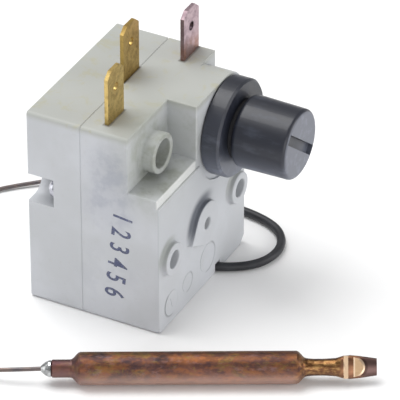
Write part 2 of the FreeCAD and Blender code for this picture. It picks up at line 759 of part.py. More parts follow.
def back_edge(edge):
    """The outer edges round the back face."""
    box = edge.BoundBox
    if not (near(box.XMin, 0.0) and near(box.XMax, 0.0)):
        return False
    flat = (near(box.YMax, 0.0), near(box.YMin, case_y), near(box.ZMin, case_z), near(box.ZMax, 0.0))
    low_corner = box.ZMax < float(size("corner_low")) + 0.1
    high_corner = box.ZMin > float(case_z - size("corner_small")) - 0.1
    at_near_side = box.YMax < float(size("corner_small")) + 0.1
    at_far_side = box.YMin > float(case_y - size("corner_low")) - 0.1
    return any(flat) or ((low_corner or high_corner) and (at_near_side or at_far_side))


round_edges(rear, soft, back_edge)
round_edges(rear, size("seam_bevel"), seam_edge, chamfer=True)
place(rear, "rear_cover")

# Cover screws with domed heads.
head_back = size("notch_depth_x") - size("screw_head_height")
for label, screw_y in (("cover_screw_near", near_screw), ("cover_screw_far", far_screw)):
    rim = size("screw_head_radius")
    rise = size("screw_head_height")
    screw = turned(
        "Screw" + label.split("_")[-1].title(),
        [
            (0.0, 0.0),
            (0.0, rim * 0.55),
            (rise * 0.35, rim * 0.9),
            (rise * 0.7, rim),
            (rise, rim),
            (rise, size("screw_radius")),
            (parting + size("screw_bite") - gap - head_back, size("screw_radius")),
            (parting + size("screw_bite") - gap - head_back, 0.0),
        ],
    )
    place(screw, label, head_back, screw_y, size("notch_up"))


def blade_terminal(name, label, back, side, rise, leg_low, arm=None):
    """A blade with a chamfered, pierced tip over the top and a leg inside, cut from one strip."""
    tip = case_z + rise
    width = size("tab_width")
    body = new_body(name)
    sketch = new_sketch(body, "YZ_Plane", 0.0)
    points = [
        (side + width, tip - size("tab_chamfer_up")),
        (side + width - size("tab_chamfer_side"), tip),
        (side + size("tab_chamfer_side"), tip),
        (side, tip - size("tab_chamfer_up")),
    ]
    if arm is None:
        points = points + [(side, leg_low), (side + width, leg_low)]
    else:
        arm_top = leg_low + size("arm_width")
        points = points + [(side, leg_low), (arm, leg_low), (arm, arm_top), (side + width, arm_top)]
    outline(sketch, points)
    pad(body, sketch, size("tab_thick"))
    sketch = new_sketch(body, "YZ_Plane", size("tab_thick"))
    ring(sketch, side + width / 2, tip - size("tab_hole_down"), size("tab_hole_radius"))
    pocket(body, sketch, size("tab_thick"))
    place(body, label, back)
    return body


arm_end = contact_side + size("contact_radius") + size("contact_edge")
blade_terminal(
    "CommonTerminal",
    "terminal_common",
    common_back,
    size("common_side"),
    size("common_rise"),
    size("arm_low"),
)
blade_terminal(
    "ClosedTerminal",
    "terminal_main",
    closed_back,
    size("closed_side"),
    size("closed_rise"),
    size("arm_low"),
    arm=arm_end,
)
blade_terminal(
    "SignalTerminal",
    "terminal_signal",
    signal_back,
    signal_side,
    size("signal_rise"),
    size("arm_low"),
)

# Contact blade behind the common terminal, with a contact on both faces.
blade_front = common_back
blade_back = blade_front - size("blade_thick")
arm_top = size("arm_low") + size("arm_width")
contact_z = size("arm_low") + size("arm_width") / 2
blade_start = size("common_side") + size("tab_width") + size("blade_end_gap")
blade_plate = block(
    "BladePlate", (blade_back, blade_start, size("arm_low")), (blade_front, arm_end, arm_top)
)
blade_tail = block(
    "BladeTail",
    (blade_back, lever_low, size("lever_top") - size("arm_width")),
    (blade_front, lever_high, size("arm_low")),
)
place(joined("ContactBlade", [blade_plate, blade_tail]), "contact_blade")
moving_back = blade_back - size("contact_thick")
moving_front = blade_front + size("contact_thick")
contact_args = (contact_side, contact_z)
for label, low, high in (
    ("moving_contact_main", moving_back, blade_back),
    ("moving_contact_signal", blade_front, moving_front),
    ("fixed_contact_main", parting, moving_back - gap),
    ("fixed_contact_signal", moving_front + size("contact_gap"), signal_back),
):
    name = label.title().replace("_", "")
    place(cylinder_x(name, size("contact_radius"), low, high, *contact_args), label, low, *contact_args)

# Trip lever: a strip with a rolled eye, a nose at its top that meets the blade's tail.
lever_front = size("lever_back") + size("lever_thick")
nose_low = size("lever_top") - size("lever_thick")
nose_front = blade_back - gap * 2
lever_strip = block(
    "LeverStrip",
    (size("lever_back"), lever_low, size("lever_foot_up")),
    (lever_front, lever_high, size("lever_top")),
)
lever_nose = block(
    "LeverNose", (lever_front, lever_low, nose_low), (nose_front, lever_high, size("lever_top"))
)


def cylinder_y(name, radius, low, high, x, z):
    """A rod along Y."""
    rod = doc.addObject("Part::Cylinder", name)
    rod.setExpression("Radius", expression(radius))
    rod.setExpression("Height", expression(high - low))
    rod.Placement = Placement(Vector(0, 0, 0), Rotation(Vector(1, 0, 0), -90))
    for axis, at in (("x", x), ("y", low), ("z", z)):
        rod.setExpression("Placement.Base." + axis, expression(at))
    return rod


pin_args = (lever_pin_x, size("lever_foot_up"))
lever_eye = cylinder_y("LeverEye", size("lever_eye_radius") - gap * 2, lever_low, lever_high, *pin_args)
lever_bore = cylinder_y("LeverBore", size("lever_pin_radius") + gap, lever_low, lever_high, *pin_args)
lever_blank = joined("LeverBlank", [lever_strip, lever_nose, lever_eye])
place(cut("TripLever", lever_blank, lever_bore), "trip_lever")
pin_low = near_ear - size("ear_thick")
pin_high = far_ear + size("ear_thick")
pin = cylinder_y("LeverPin", size("lever_pin_radius"), pin_low, pin_high, *pin_args)
place(pin, "lever_pin", lever_pin_x, pin_low, size("lever_foot_up"))

# Pressure capsule: a pressed cup, and a corrugated diaphragm over it.
cup_radius = size("capsule_radius")
sheet_thick = size("capsule_sheet")
cup = turned(
    "CapsuleCup",
    [
        (0.0, 0.0),
        (0.0, cup_radius - size("capsule_rim") + sheet_thick),
        (size("capsule_thick") - sheet_thick, cup_radius - size("capsule_rim") + sheet_thick),
        (size("capsule_thick") - sheet_thick, cup_radius),
        (size("capsule_thick"), cup_radius),
        (size("capsule_thick"), cup_radius - size("capsule_rim")),
        (sheet_thick, cup_radius - size("capsule_rim")),
        (sheet_thick, 0.0),
    ],
)
place(cup, "capsule_cup", capsule_back, trim_y, trim_z)
diaphragm_back = capsule_back + size("capsule_thick")
rise = size("diaphragm_rise")
skin = size("diaphragm_thick")
diaphragm = turned(
    "CapsuleDiaphragm",
    [
        (rise, 0.0),
        (rise, cup_radius * 0.3),
        (rise * 0.4, cup_radius * 0.4),
        (rise * 0.9, cup_radius * 0.52),
        (rise * 0.3, cup_radius * 0.66),
        (rise * 0.6, cup_radius * 0.78),
        (0.0, cup_radius * 0.88),
        (0.0, cup_radius),
        (skin, cup_radius),
        (skin, cup_radius * 0.88),
        (rise * 0.6 + skin, cup_radius * 0.78),
        (rise * 0.3 + skin, cup_radius * 0.66),
        (rise * 0.9 + skin, cup_radius * 0.52),
        (rise * 0.4 + skin, cup_radius * 0.4),
        (rise + skin, cup_radius * 0.3),
        (rise + skin, 0.0),
    ],
)
place(diaphragm, "capsule_diaphragm", diaphragm_back, trim_y, trim_z)
push_back = diaphragm_back + rise + skin
push_front = size("lever_back") - gap
push_pin = cylinder_x("PushPin", size("push_pin_radius"), push_back, push_front, trim_y, trim_z)
place(push_pin, "push_pin", push_back, trim_y, trim_z)

# Calibration screw in its post, and the spring that it sets against the lever.
trim_screw_back = block_inside - size("trim_screw_length")
screw_blank = cylinder_x(
    "TrimScrewBlank", size("trim_screw_radius"), trim_screw_back, block_inside, trim_y, trim_z
)
half_cut = size("trim_slot_width") / 2
screw_slot = block(
    "TrimScrewSlot",
    (block_inside - size("trim_slot_depth"), trim_y - size("trim_screw_radius"), trim_z - half_cut),
    (block_inside, trim_y + size("trim_screw_radius"), trim_z + half_cut),
)
place(cut("TrimScrew", screw_blank, screw_slot), "calibration_screw")


def coil_spring(label, wire, radius, low, high, y, z):
    """A round-wire coil along X that rests between two faces."""
    wire_radius = float(wire) / 2
    free = float(high) - float(low) - float(wire)
    helix = Part.makeHelix(free / float(size("spring_turns")), free, float(radius))
    circle = Part.Circle(Vector(float(radius), 0, 0), Vector(0, 1, 0), wire_radius)
    profile = Part.Wire([circle.toShape()])
    spring = Part.Wire(helix.Edges).makePipeShell([profile], True, True)
    spring.rotate(Vector(0, 0, 0), Vector(0, 1, 0), 90)
    feature = doc.addObject("Part::Feature", label.title().replace("_", ""))
    feature.Shape = spring
    place(feature, label, low + wire_radius, y, z)
    return feature


spring_play = size("spring_play")
trim_spring = (size("trim_spring_wire"), size("trim_spring_radius"))
coil_spring(
    "calibration_spring",
    *trim_spring,
    lever_front + spring_play,
    trim_screw_back - spring_play,
    trim_y,
    trim_z,
)

# Threaded bush with the sprung reset plunger in its chamber.
flange_back = block_inside - size("bush_flange_thick")
chamber_radius = size("plunger_head_radius") + gap * 2
chamber_front = bush_end - size("bush_front_wall")
bush = turned(
    "ThreadedBush",
    [
        (0.0, chamber_radius),
        (0.0, size("bush_flange_radius")),
        (size("bush_flange_thick"), size("bush_flange_radius")),
        (size("bush_flange_thick"), size("bush_radius")),
        (bush_end - flange_back - size("bush_bevel"), size("bush_radius")),
        (bush_end - flange_back, size("bush_radius") - size("bush_bevel")),
        (bush_end - flange_back, size("plunger_front_radius") + gap),
        (chamber_front - flange_back, size("plunger_front_radius") + gap),
        (chamber_front - flange_back, chamber_radius),
    ],
)
place(bush, "threaded_bush", flange_back, knob_y, knob_z)
seat_front = flange_back + size("spring_seat_thick")
seat = turned(
    "SpringSeat",
    [
        (0.0, size("plunger_rear_radius") + gap),
        (0.0, chamber_radius - gap / 2),
        (size("spring_seat_thick"), chamber_radius - gap / 2),
        (size("spring_seat_thick"), size("plunger_rear_radius") + gap),
    ],
)
place(seat, "spring_seat", flange_back, knob_y, knob_z)
head_front = chamber_front - gap
head_start = head_front - size("plunger_head_thick")
plunger_back = blade_front + size("contact_gap") + size("reset_travel") + gap
plunger = turned(
    "ResetPlunger",
    [
        (0.0, 0.0),
        (0.0, size("plunger_rear_radius")),
        (head_start - plunger_back, size("plunger_rear_radius")),
        (head_start - plunger_back, size("plunger_head_radius")),
        (head_front - plunger_back, size("plunger_head_radius")),
        (head_front - plunger_back, size("plunger_front_radius")),
        (plunger_tip - plunger_back - size("plunger_bevel"), size("plunger_front_radius")),
        (plunger_tip - plunger_back, size("plunger_front_radius") - size("plunger_bevel")),
        (plunger_tip - plunger_back, 0.0),
    ],
)
place(plunger, "reset_plunger", plunger_back, knob_y, knob_z)
reset_spring = (size("reset_spring_wire"), size("reset_spring_radius"))
coil_spring(
    "reset_spring",
    *reset_spring,
    seat_front + spring_play,
    head_start - spring_play,
    knob_y,
    knob_z,
)

# Ring nut on the bush, cap washer and protective cap.
rim = size("collar_radius")
collar = turned(
    "Collar",
    [
        (0.0, size("bush_radius") + gap),
        (0.0, rim - size("collar_bevel")),
        (size("collar_bevel"), rim),
        (size("collar_width") - size("collar_bevel"), rim),
        (size("collar_width"), rim - size("collar_bevel")),
        (size("collar_width"), size("bush_radius") + gap),
    ],
)
place(collar, "ring_nut", block_front, knob_y, knob_z)
washer = turned(
    "CapWasher",
    [
        (gap, size("bush_radius") + gap),
        (gap, size("seal_radius")),
        (size("seal_width") - gap, size("seal_radius")),
        (size("seal_width") - gap, size("bush_radius") + gap),
    ],
)
place(washer, "cap_washer", collar_front, knob_y, knob_z)

cap = turned(
    "ProtectiveCap",
    [
        (0.0, size("bush_radius") + gap),
        (0.0, size("cap_radius")),
        (cap_length, size("cap_tip_radius")),
        (cap_length, 0.0),
        (cap_length - size("cap_end_wall"), 0.0),
        (cap_length - size("cap_end_wall"), size("bush_radius") + gap),
    ],
)
round_edges(
    cap, size("cap_base_round"), lambda edge: near(edge.BoundBox.XMax, 0) and edge.Length > 40
)
round_edges(
    cap, size("cap_tip_round"), lambda edge: near(edge.BoundBox.XMin, cap_length) and edge.Length > 40
)
section = new_sketch(cap, "YZ_Plane", cap_length)
half_slot = size("coin_slot_width") / 2
slot_reach = size("cap_tip_radius") - size("coin_slot_rim")
section.setExpression("AttachmentOffset.Rotation.Angle", size("coin_slot_turn").text)
box_outline(section, -slot_reach, slot_reach, -half_slot, half_slot)
pocket(cap, section, size("coin_slot_depth"))
place(cap, "protective_cap", cap_back, knob_y, knob_z)


# Capillary, coil and bulb. All of it lies on the surface that the housing stands on.
def cord_tube(label, route, radius, first_turn=None):
    """A tube of straight runs joined by tangent arcs, each arc as large as its two runs allow."""
    points = [Vector(*point) for point in route]
    runs = [points[i + 1] - points[i] for i in range(len(points) - 1)]
    edges = []
    start = points[0]
    for index in range(1, len(points) - 1):
        arriving = Vector(runs[index - 1]).normalize()
        leaving = Vector(runs[index]).normalize()
        shorter = min(runs[index - 1].Length, runs[index].Length)
        turn = arriving.getAngle(leaving)
        cut_back = 0.45 * shorter
        radius_here = cut_back / math.tan(turn / 2)
        print(label, "bend", index, round(radius_here, 1), "mm")
        arc_start = points[index] - arriving * cut_back
        arc_end = points[index] + leaving * cut_back
        middle = points[index] + (leaving - arriving).normalize() * (
            radius_here / math.cos(turn / 2) - radius_here
        )
        edges.append(Part.LineSegment(start, arc_start).toShape())
        edges.append(Part.Arc(arc_start, middle, arc_end).toShape())
        start = arc_end
    edges.append(Part.LineSegment(start, points[-1]).toShape())
    path = Part.Wire(edges)
    profile = Part.Wire([Part.Circle(points[0], runs[0], radius).toShape()])
    tube = path.makePipeShell([profile], True, False)
    expected = path.Length * math.pi * radius * radius
    print(label, "length", round(path.Length, 1), "mm, volume share", round(tube.Volume / expected, 3))
    feature = doc.addObject("Part::Feature", label.title().replace("_", ""))
    feature.Shape = tube
    place(feature, label)
    return feature


# The inner capillary drops from the capsule and turns into the groove, where the sleeve takes over.
sleeve_up = size("sleeve_radius") + size("floor_play")
lean = math.atan(float(groove_slope))
run_start_x = face_front - size("sleeve_hidden") * math.cos(lean)
run_start = Vector(float(run_start_x), float(groove_middle(run_start_x)), float(sleeve_up))
drop_x = capsule_back + size("capsule_thick") / 2
drop_y = float(groove_middle(drop_x))
cup_rim = math.sqrt(float(cup_radius) ** 2 - (drop_y - float(trim_y)) ** 2)
drop_top = Vector(float(drop_x), drop_y, float(trim_z) - cup_rim - float(gap))
drop_corner = Vector(float(drop_x), drop_y, float(sleeve_up))
inner_route = [drop_top, drop_corner, run_start]
cord_tube("capillary_inner", inner_route, float(size("capillary_radius")))
exit_point = Vector(float(face_front), float(size("groove_side")), float(sleeve_up))


def rod_between(label, start, end, radius):
    """A straight round rod between two points."""
    feature = doc.addObject("Part::Feature", label.title().replace("_", ""))
    feature.Shape = Part.makeCylinder(radius, (end - start).Length, start, end - start)
    place(feature, label)
    return feature


rod_between("sleeve_in_groove", run_start, exit_point, float(size("sleeve_radius")))


def lay_point(right, behind, up):
    """A point of the surface, measured along and across the lay of the bulb."""
    turn = math.radians(float(size("lay_turn")))
    x = right * math.cos(turn) - behind * math.sin(turn)
    y = right * math.sin(turn) + behind * math.cos(turn)
    return Vector(x, y, up)


# The sleeve leaves the groove, goes round the corner of the housing and lies in a neat coil behind it.
floor_sleeve = float(sleeve_up)
lead_route = [
    exit_point,
    Vector(32.56, 26.3, floor_sleeve),
    Vector(36.6, 30.6, floor_sleeve),
    Vector(37.4, 36.5, floor_sleeve),
    Vector(34.6, 41.7, floor_sleeve),
    Vector(29.3, 44.3, floor_sleeve),
    Vector(21.3, 45.2, floor_sleeve),
    Vector(9.8, 44.9, floor_sleeve),
    Vector(-4.4, 44.4, floor_sleeve),
]
cord_tube("sleeve_lead", lead_route, float(size("sleeve_radius")))
coil_centre = (size("coil_x"), size("coil_y"))
across = size("coil_turns_across") * size("sleeve_radius")
coil_high = size("coil_layers") * size("sleeve_radius") * 2
coil_profile = new_body("SleeveCoil")
section = new_sketch(coil_profile, "XZ_Plane")
box_outline(section, size("coil_radius") - across, size("coil_radius") + across, 0.0, coil_high)
coil_turn = coil_profile.newObject("PartDesign::Revolution", "SleeveCoilTurn")
coil_turn.Profile = section
coil_turn.ReferenceAxis = (section, ["V_Axis"])
coil_turn.Angle = 360.0
doc.recompute()
round_edges(coil_profile, size("sleeve_radius") * 0.9, lambda edge: edge.Length > 1)
place(coil_profile, "sleeve_coil", coil_centre[0], coil_centre[1], size("floor_play"))

coil_outer = float(size("coil_radius") + across - size("sleeve_radius"))
turn = math.radians(float(size("lay_turn")))
left = Vector(-math.cos(turn), -math.sin(turn), 0)
nearest = Vector(math.sin(turn), -math.cos(turn), 0) * coil_outer
leave = Vector(float(coil_centre[0]), float(coil_centre[1]), 0) + nearest
tail_length = float(size("tail_length"))
tail_drop = float(coil_high) - float(size("sleeve_radius")) - floor_sleeve
tail_route = []
for share, down in ((0.0, 0.0), (0.32, 0.2), (0.68, 0.7), (1.0, 1.0)):
    up = floor_sleeve + tail_drop * (1 - down)
    tail_route.append(leave + left * tail_length * share + Vector(0, 0, up))
cord_tube("sleeve_tail", tail_route, float(size("sleeve_radius")))
tail_end = tail_route[-1]
bulb_up = float(size("bulb_radius") + size("floor_play"))
bulb_start = lay_point(float(size("bulb_start_right")), float(size("bulb_start_behind")), bulb_up)
capillary_route = [
    tail_end,
    lay_point(-3.5, 38.6, 0.6),
    lay_point(-11.0, 35.5, 0.6),
    lay_point(-16.0, 28.0, 0.6),
    lay_point(-17.5, 17.0, 0.6),
    lay_point(-16.8, 4.0, 0.6),
    lay_point(-17.4, -9.0, 0.6),
    lay_point(-15.8, -19.5, 0.6),
    lay_point(-10.6, -26.6, 1.4),
    lay_point(-3.6, -28.7, 2.9),
    bulb_start,
]
cord_tube("capillary_run", capillary_route, float(size("capillary_radius")))

# Solder, then the bulb: two necks, a wide middle and a closed end that is pressed flat.
solder = turned(
    "BulbSolder",
    [
        (0.0, 0.0),
        (0.0, size("capillary_radius") * 1.35),
        (size("solder_length") * 0.2, size("bulb_neck_radius") * 0.52),
        (size("solder_length") * 0.45, size("bulb_neck_radius") * 0.74),
        (size("solder_length") * 0.75, size("bulb_neck_radius") * 0.9),
        (size("solder_length"), size("bulb_neck_radius") * 0.96),
        (size("solder_length"), 0.0),
    ],
)
shoulder_start = size("bulb_neck_length")
wide_start = shoulder_start + size("bulb_shoulder")
wide_end = wide_start + size("bulb_length")
tail_start = wide_end + size("bulb_shoulder")
crimp_start = tail_start + size("bulb_tail_length")
crimp_end = crimp_start + size("crimp_length")
neck = size("bulb_neck_radius")
waist = neck - size("bulb_waist")
swell = size("bulb_radius") - neck
# The drawn shoulders run in a soft S from the necks to the wide middle.
shoulder_shares = ((0.0, 0.0), (0.2, 0.07), (0.4, 0.3), (0.6, 0.62), (0.8, 0.88), (1.0, 1.0))
shoulder_in = [
    (shoulder_start + size("bulb_shoulder") * along, neck + swell * up) for along, up in shoulder_shares
]
shoulder_out = [
    (tail_start - size("bulb_shoulder") * along, neck + swell * up) for along, up in reversed(shoulder_shares)
]
barrel = turned(
    "BulbBarrel",
    [(0.0, 0.0), (0.0, neck - size("bulb_ease")), (size("bulb_ease"), neck)]
    + shoulder_in
    + shoulder_out
    + [
        (tail_start + size("bulb_tail_length") * 0.25, waist),
        (tail_start + size("bulb_tail_length") * 0.6, waist),
        (crimp_start, neck),
        (crimp_start, 0.0),
    ],
)
sections = []
for index, (share, half_width, half_thick) in enumerate(
    (
        (0.0, neck * 0.98, neck * 0.97),
        (0.18, size("crimp_half_width") * 0.93, size("crimp_half_thick") * 1.45),
        (0.36, size("crimp_half_width"), size("crimp_half_thick")),
        (0.6, size("crimp_half_width") * 0.92, size("crimp_half_thick") * 0.9),
        (1.0, size("crimp_half_width") * 0.72, size("crimp_half_thick") * 0.75),
    )
):
    oval = doc.addObject("Part::Ellipse", "CrimpOval" + str(index))
    oval.setExpression("MajorRadius", expression(half_width))
    oval.setExpression("MinorRadius", expression(half_thick))
    upright = Rotation(Vector(0, 0, 1), Vector(1, 0, 0))
    crimp_turn = Rotation(Vector(1, 0, 0), float(size("crimp_turn")))
    oval.Placement = Placement(Vector(0, 0, 0), crimp_turn * upright)
    oval.setExpression("Placement.Base.x", expression(crimp_start + size("crimp_length") * share))
    sections.append(oval)
crimp = doc.addObject("Part::Loft", "BulbCrimp")
crimp.Sections = sections
crimp.Solid = True
crimp.Ruled = True


def pressed_flat(name, points, half_thick):
    """A flat left by the pressing tool on both faces of the closed end."""
    body = new_body(name)
    sketch = new_sketch(body, "XY_Plane", -half_thick)
    outline(sketch, points)
    pad(body, sketch, half_thick * 2)
    body.Placement = Placement(Vector(0, 0, 0), Rotation(Vector(1, 0, 0), float(size("crimp_turn")) + 90))
    return body


band_start = crimp_start + size("crimp_length") * 0.2
band_end = crimp_start + size("crimp_length") * 0.31
band_half = size("crimp_half_width") * 0.95
band = pressed_flat(
    "CrimpBand",
    [(band_start, -band_half), (band_end, -band_half), (band_end, band_half), (band_start, band_half)],
    size("crimp_half_thick") * 1.3,
)
shield_start = crimp_start + size("crimp_length") * 0.44
shield_side = crimp_start + size("crimp_length") * 0.56
shield_tip = crimp_start + size("crimp_length") * 0.71
shield_half = size("crimp_half_width") * 0.84
shield = pressed_flat(
    "CrimpShield",
    [
        (shield_start, -shield_half),
        (shield_side, -shield_half * 0.8),
        (shield_tip, 0.0),
        (shield_side, shield_half * 0.8),
        (shield_start, shield_half),
    ],
    size("crimp_half_thick") * 1.05,
)
bulb = joined("Bulb", [barrel, crimp, band, shield])
for item, label, start in (
    (solder, "bulb_solder", 0.0),
    (bulb, "sensing_bulb", float(size("solder_length"))),
):
    lay = Rotation(Vector(0, 0, 1), float(size("lay_turn")))
    item.Placement = Placement(Vector(0, 0, 0), lay)
    at = bulb_start + lay.multVec(Vector(start, 0, 0))
    place(item, label, at.x, at.y, at.z)

doc.recompute()
os.makedirs("parts", exist_ok=True)
problems = [item.Name for item in doc.Objects if "Invalid" in item.State or "Error" in item.State]
for item in sub_parts:
    if item.Shape.isNull() or not item.Shape.isValid() or not item.Shape.Solids:
        problems.append(item.Label)
if problems:
    raise RuntimeError("failed: " + ", ".join(problems))
for item in sub_parts:
    item.Shape.exportStep(os.path.join("parts", item.Label + ".step"))
    box = item.Shape.BoundBox
    extent = [round(v, 2) for v in (box.XMin, box.XMax, box.YMin, box.YMax, box.ZMin, box.ZMax)]
    print(item.Label, len(item.Shape.Solids), extent, round(item.Shape.Volume, 1))
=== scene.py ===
import math

import bpy
from mathutils import Matrix, Vector


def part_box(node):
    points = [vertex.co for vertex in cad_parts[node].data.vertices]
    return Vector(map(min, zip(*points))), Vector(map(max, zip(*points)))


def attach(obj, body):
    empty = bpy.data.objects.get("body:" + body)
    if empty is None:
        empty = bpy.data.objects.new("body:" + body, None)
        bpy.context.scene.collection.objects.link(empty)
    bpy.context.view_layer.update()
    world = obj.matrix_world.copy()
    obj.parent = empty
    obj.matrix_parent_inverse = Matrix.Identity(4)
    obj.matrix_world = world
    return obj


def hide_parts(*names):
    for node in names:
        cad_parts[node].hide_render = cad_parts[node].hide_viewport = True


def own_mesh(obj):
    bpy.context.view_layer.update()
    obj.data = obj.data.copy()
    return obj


# Safety thermostat with its capillary and copper bulb, in metres: +X to the cap, +Z to the blades.
# Lengths that go through at() or are multiplied by MM are in millimetres.

MM = 0.001
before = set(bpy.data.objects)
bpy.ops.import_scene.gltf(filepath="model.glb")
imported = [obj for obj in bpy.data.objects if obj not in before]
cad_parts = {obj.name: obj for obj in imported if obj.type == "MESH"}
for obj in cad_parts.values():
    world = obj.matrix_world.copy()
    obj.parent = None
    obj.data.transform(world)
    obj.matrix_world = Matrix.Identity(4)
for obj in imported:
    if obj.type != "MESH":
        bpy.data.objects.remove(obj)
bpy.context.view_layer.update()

# The object's frame starts under the middle of the body, and these lengths start at its back edge.
BACK = 22.7
NEAR = 18.91


def at(x, y, z):
    """A point given from the back, the near side and the underside, in millimetres."""
    return Vector((x - BACK, y - NEAR, z)) * MM


def depth_at(x):
    """How far forward a plane stands, given from the back."""
    return at(x, 0, 0).x


def across_at(y):
    """How far across the front a line stands, given from the near side."""
    return at(0, y, 0).y


BLADES = ("terminal_common", "terminal_main", "terminal_signal")
BLADE_WIDTH = 6.3
BLADE_THICK = 0.8
# The hole's centre, down from the blade's tip.
HOLE_DOWN = 4.2
# Planes across the object: the front face, the small upper face behind it, and the cap's end.
FACE = 28.85
BOX_FACE = 22.1
CAP_END = 45.4
# Round moulded marks on the front: place across, height and radius.
MARKS = ((5.1, 4.6, 2.7), (11.8, 5.3, 2.0), (20.4, 6.0, 3.1))
SLEEVE_RADIUS = 0.9
CAPILLARY_RADIUS = 0.42
# The sleeve lies this much clear of the table.
FLOOR_PLAY = 0.05
SLEEVE_UP = SLEEVE_RADIUS + FLOOR_PLAY


# Camera: it stands far off, at the angle of the photograph.
CAMERA_AT = Vector((0.30443, -0.57770, 0.46008))
CAMERA_BACK = Vector((0.39520, -0.73028, 0.55724))
CAMERA_RIGHT = Vector((0.88183, 0.47151, -0.00747))
SENSOR_WIDTH = 36
LENS = 360
FRAME_PIXELS = 400
FOCAL_PIXELS = FRAME_PIXELS * LENS / SENSOR_WIDTH
# The camera is turned so that the object stands as far off the picture's middle as in the photograph.
AIM_ACROSS = 60.411 / FOCAL_PIXELS
AIM_UP = -13.436 / FOCAL_PIXELS
NEAREST_SEEN = 0.01
FARTHEST_SEEN = 20


def set_camera():
    """The camera at its place, facing as the photograph does."""
    up = CAMERA_BACK.cross(CAMERA_RIGHT).normalized()
    look = (-CAMERA_BACK + CAMERA_RIGHT * AIM_ACROSS + up * AIM_UP).normalized()
    across = (CAMERA_RIGHT - look * CAMERA_RIGHT.dot(look)).normalized()
    above = across.cross(look)
    view = Matrix((across, above, -look)).transposed().to_4x4()
    view.translation = CAMERA_AT
    bpy.ops.object.camera_add()
    camera = bpy.context.object
    camera.name = "camera"
    camera.matrix_world = view
    camera.data.sensor_width = SENSOR_WIDTH
    camera.data.lens = LENS
    camera.data.clip_start = NEAREST_SEEN
    camera.data.clip_end = FARTHEST_SEEN
    bpy.context.scene.camera = camera


set_camera()


# The cords: black sleeve over the capillary, then the bare capillary to the bulb.
CORD_ROUNDNESS = 4
CORD_STEPS = 6


def cord_curve(name, points, radius):
    """A round cord along a smooth line that the points pull."""
    curve = bpy.data.curves.new(name, "CURVE")
    curve.dimensions = "3D"
    curve.bevel_depth = radius
    curve.bevel_resolution = CORD_ROUNDNESS
    curve.resolution_u = CORD_STEPS
    curve.use_fill_caps = True
    line = curve.splines.new("NURBS")
    line.points.add(len(points) - 1)
    for knot, point in zip(line.points, points):
        knot.co = (*point, 1)
        # The curve's box reaches out by the points' own radius, so that is kept small.
        knot.radius = MM
    line.order_u = 3
    line.use_endpoint_u = True
    piece = bpy.data.objects.new(name, curve)
    bpy.context.collection.objects.link(piece)
    return piece


COIL_CENTRE = (-4.4, 57.0)
COIL_RADII = (12.6, 10.8, 9.0)
COIL_LAYERS = 4
POINTS_PER_TURN = 12
# A smooth line through points on a circle runs inside it by this share.
COIL_PULL = 0.75 + 0.25 * math.cos(2 * math.pi / POINTS_PER_TURN)
# The turns are drawn in by this share, so that they stay in the room of the solid coil.
TURN_PLAY = 0.985
COIL_START = math.radians(-90)
# Each turn goes over to the next one in its last part, from this share on.
CLIMB_FROM = 0.6
# The bulb and the run beside it lie at this angle to the front.
LAY = math.radians(28)


def coil_points():
    """Turns side by side and on each other, from the lead's end to the start of the tail."""
    turns = []
    for layer in range(COIL_LAYERS):
        radii = COIL_RADII if layer % 2 == 0 else tuple(reversed(COIL_RADII))
        for radius in radii:
            turns.append((radius, SLEEVE_UP + layer * 2 * SLEEVE_RADIUS))
    last = len(turns) * POINTS_PER_TURN - 1
    points = []
    for step in range(1, last + 1):
        turn = step / POINTS_PER_TURN
        index = min(int(turn), len(turns) - 1)
        ahead = min(index + 1, len(turns) - 1)
        climb = 0.0
        if index < len(turns) - 1:
            climb = max(0.0, (turn - index - CLIMB_FROM) / (1 - CLIMB_FROM))
        climb = climb * climb * (3 - 2 * climb)
        radius = turns[index][0] + (turns[ahead][0] - turns[index][0]) * climb
        up = turns[index][1] + (turns[ahead][1] - turns[index][1]) * climb
        angle = COIL_START - 2 * math.pi * turn
        reach = radius * TURN_PLAY / COIL_PULL
        x = COIL_CENTRE[0] + reach * math.cos(angle)
        y = COIL_CENTRE[1] + reach * math.sin(angle)
        points.append(at(x, y, up))
    return points


def on_lay(right, behind, up):
    """A point on the table, measured along and across the bulb's own direction."""
    x = right * math.cos(LAY) - behind * math.sin(LAY)
    y = right * math.sin(LAY) + behind * math.cos(LAY)
    return at(x, y, up)


SLEEVE_EXIT = at(FACE, 24.8, SLEEVE_UP)
LEAD = [
    SLEEVE_EXIT,
    at(32.56, 26.3, SLEEVE_UP),
    at(36.6, 30.6, SLEEVE_UP),
    at(37.4, 36.5, SLEEVE_UP),
    at(34.6, 41.7, SLEEVE_UP),
    at(29.3, 44.3, SLEEVE_UP),
    at(21.3, 45.2, SLEEVE_UP),
    at(9.8, 44.9, SLEEVE_UP),
]
TAIL_LENGTH = 19.0
# The place where the sleeve leaves the coil, and the height of the coil's top turns.
LEAVE_X = COIL_CENTRE[0] + COIL_RADII[0] * math.sin(LAY)
LEAVE_Y = COIL_CENTRE[1] - COIL_RADII[0] * math.cos(LAY)
COIL_TOP = (2 * COIL_LAYERS - 1) * SLEEVE_RADIUS + FLOOR_PLAY


def tail_point(share, down):
    """A point of the sleeve's end, which slopes from the top of the coil to the table."""
    x = LEAVE_X - TAIL_LENGTH * share * math.cos(LAY)
    y = LEAVE_Y - TAIL_LENGTH * share * math.sin(LAY)
    return at(x, y, SLEEVE_UP + (COIL_TOP - SLEEVE_UP) * (1 - down))


TAIL = [tail_point(0.0, 0.0), tail_point(0.32, 0.2), tail_point(0.68, 0.7), tail_point(1.0, 1.0)]
BULB_START = on_lay(2.7, -28.8, 3.25)
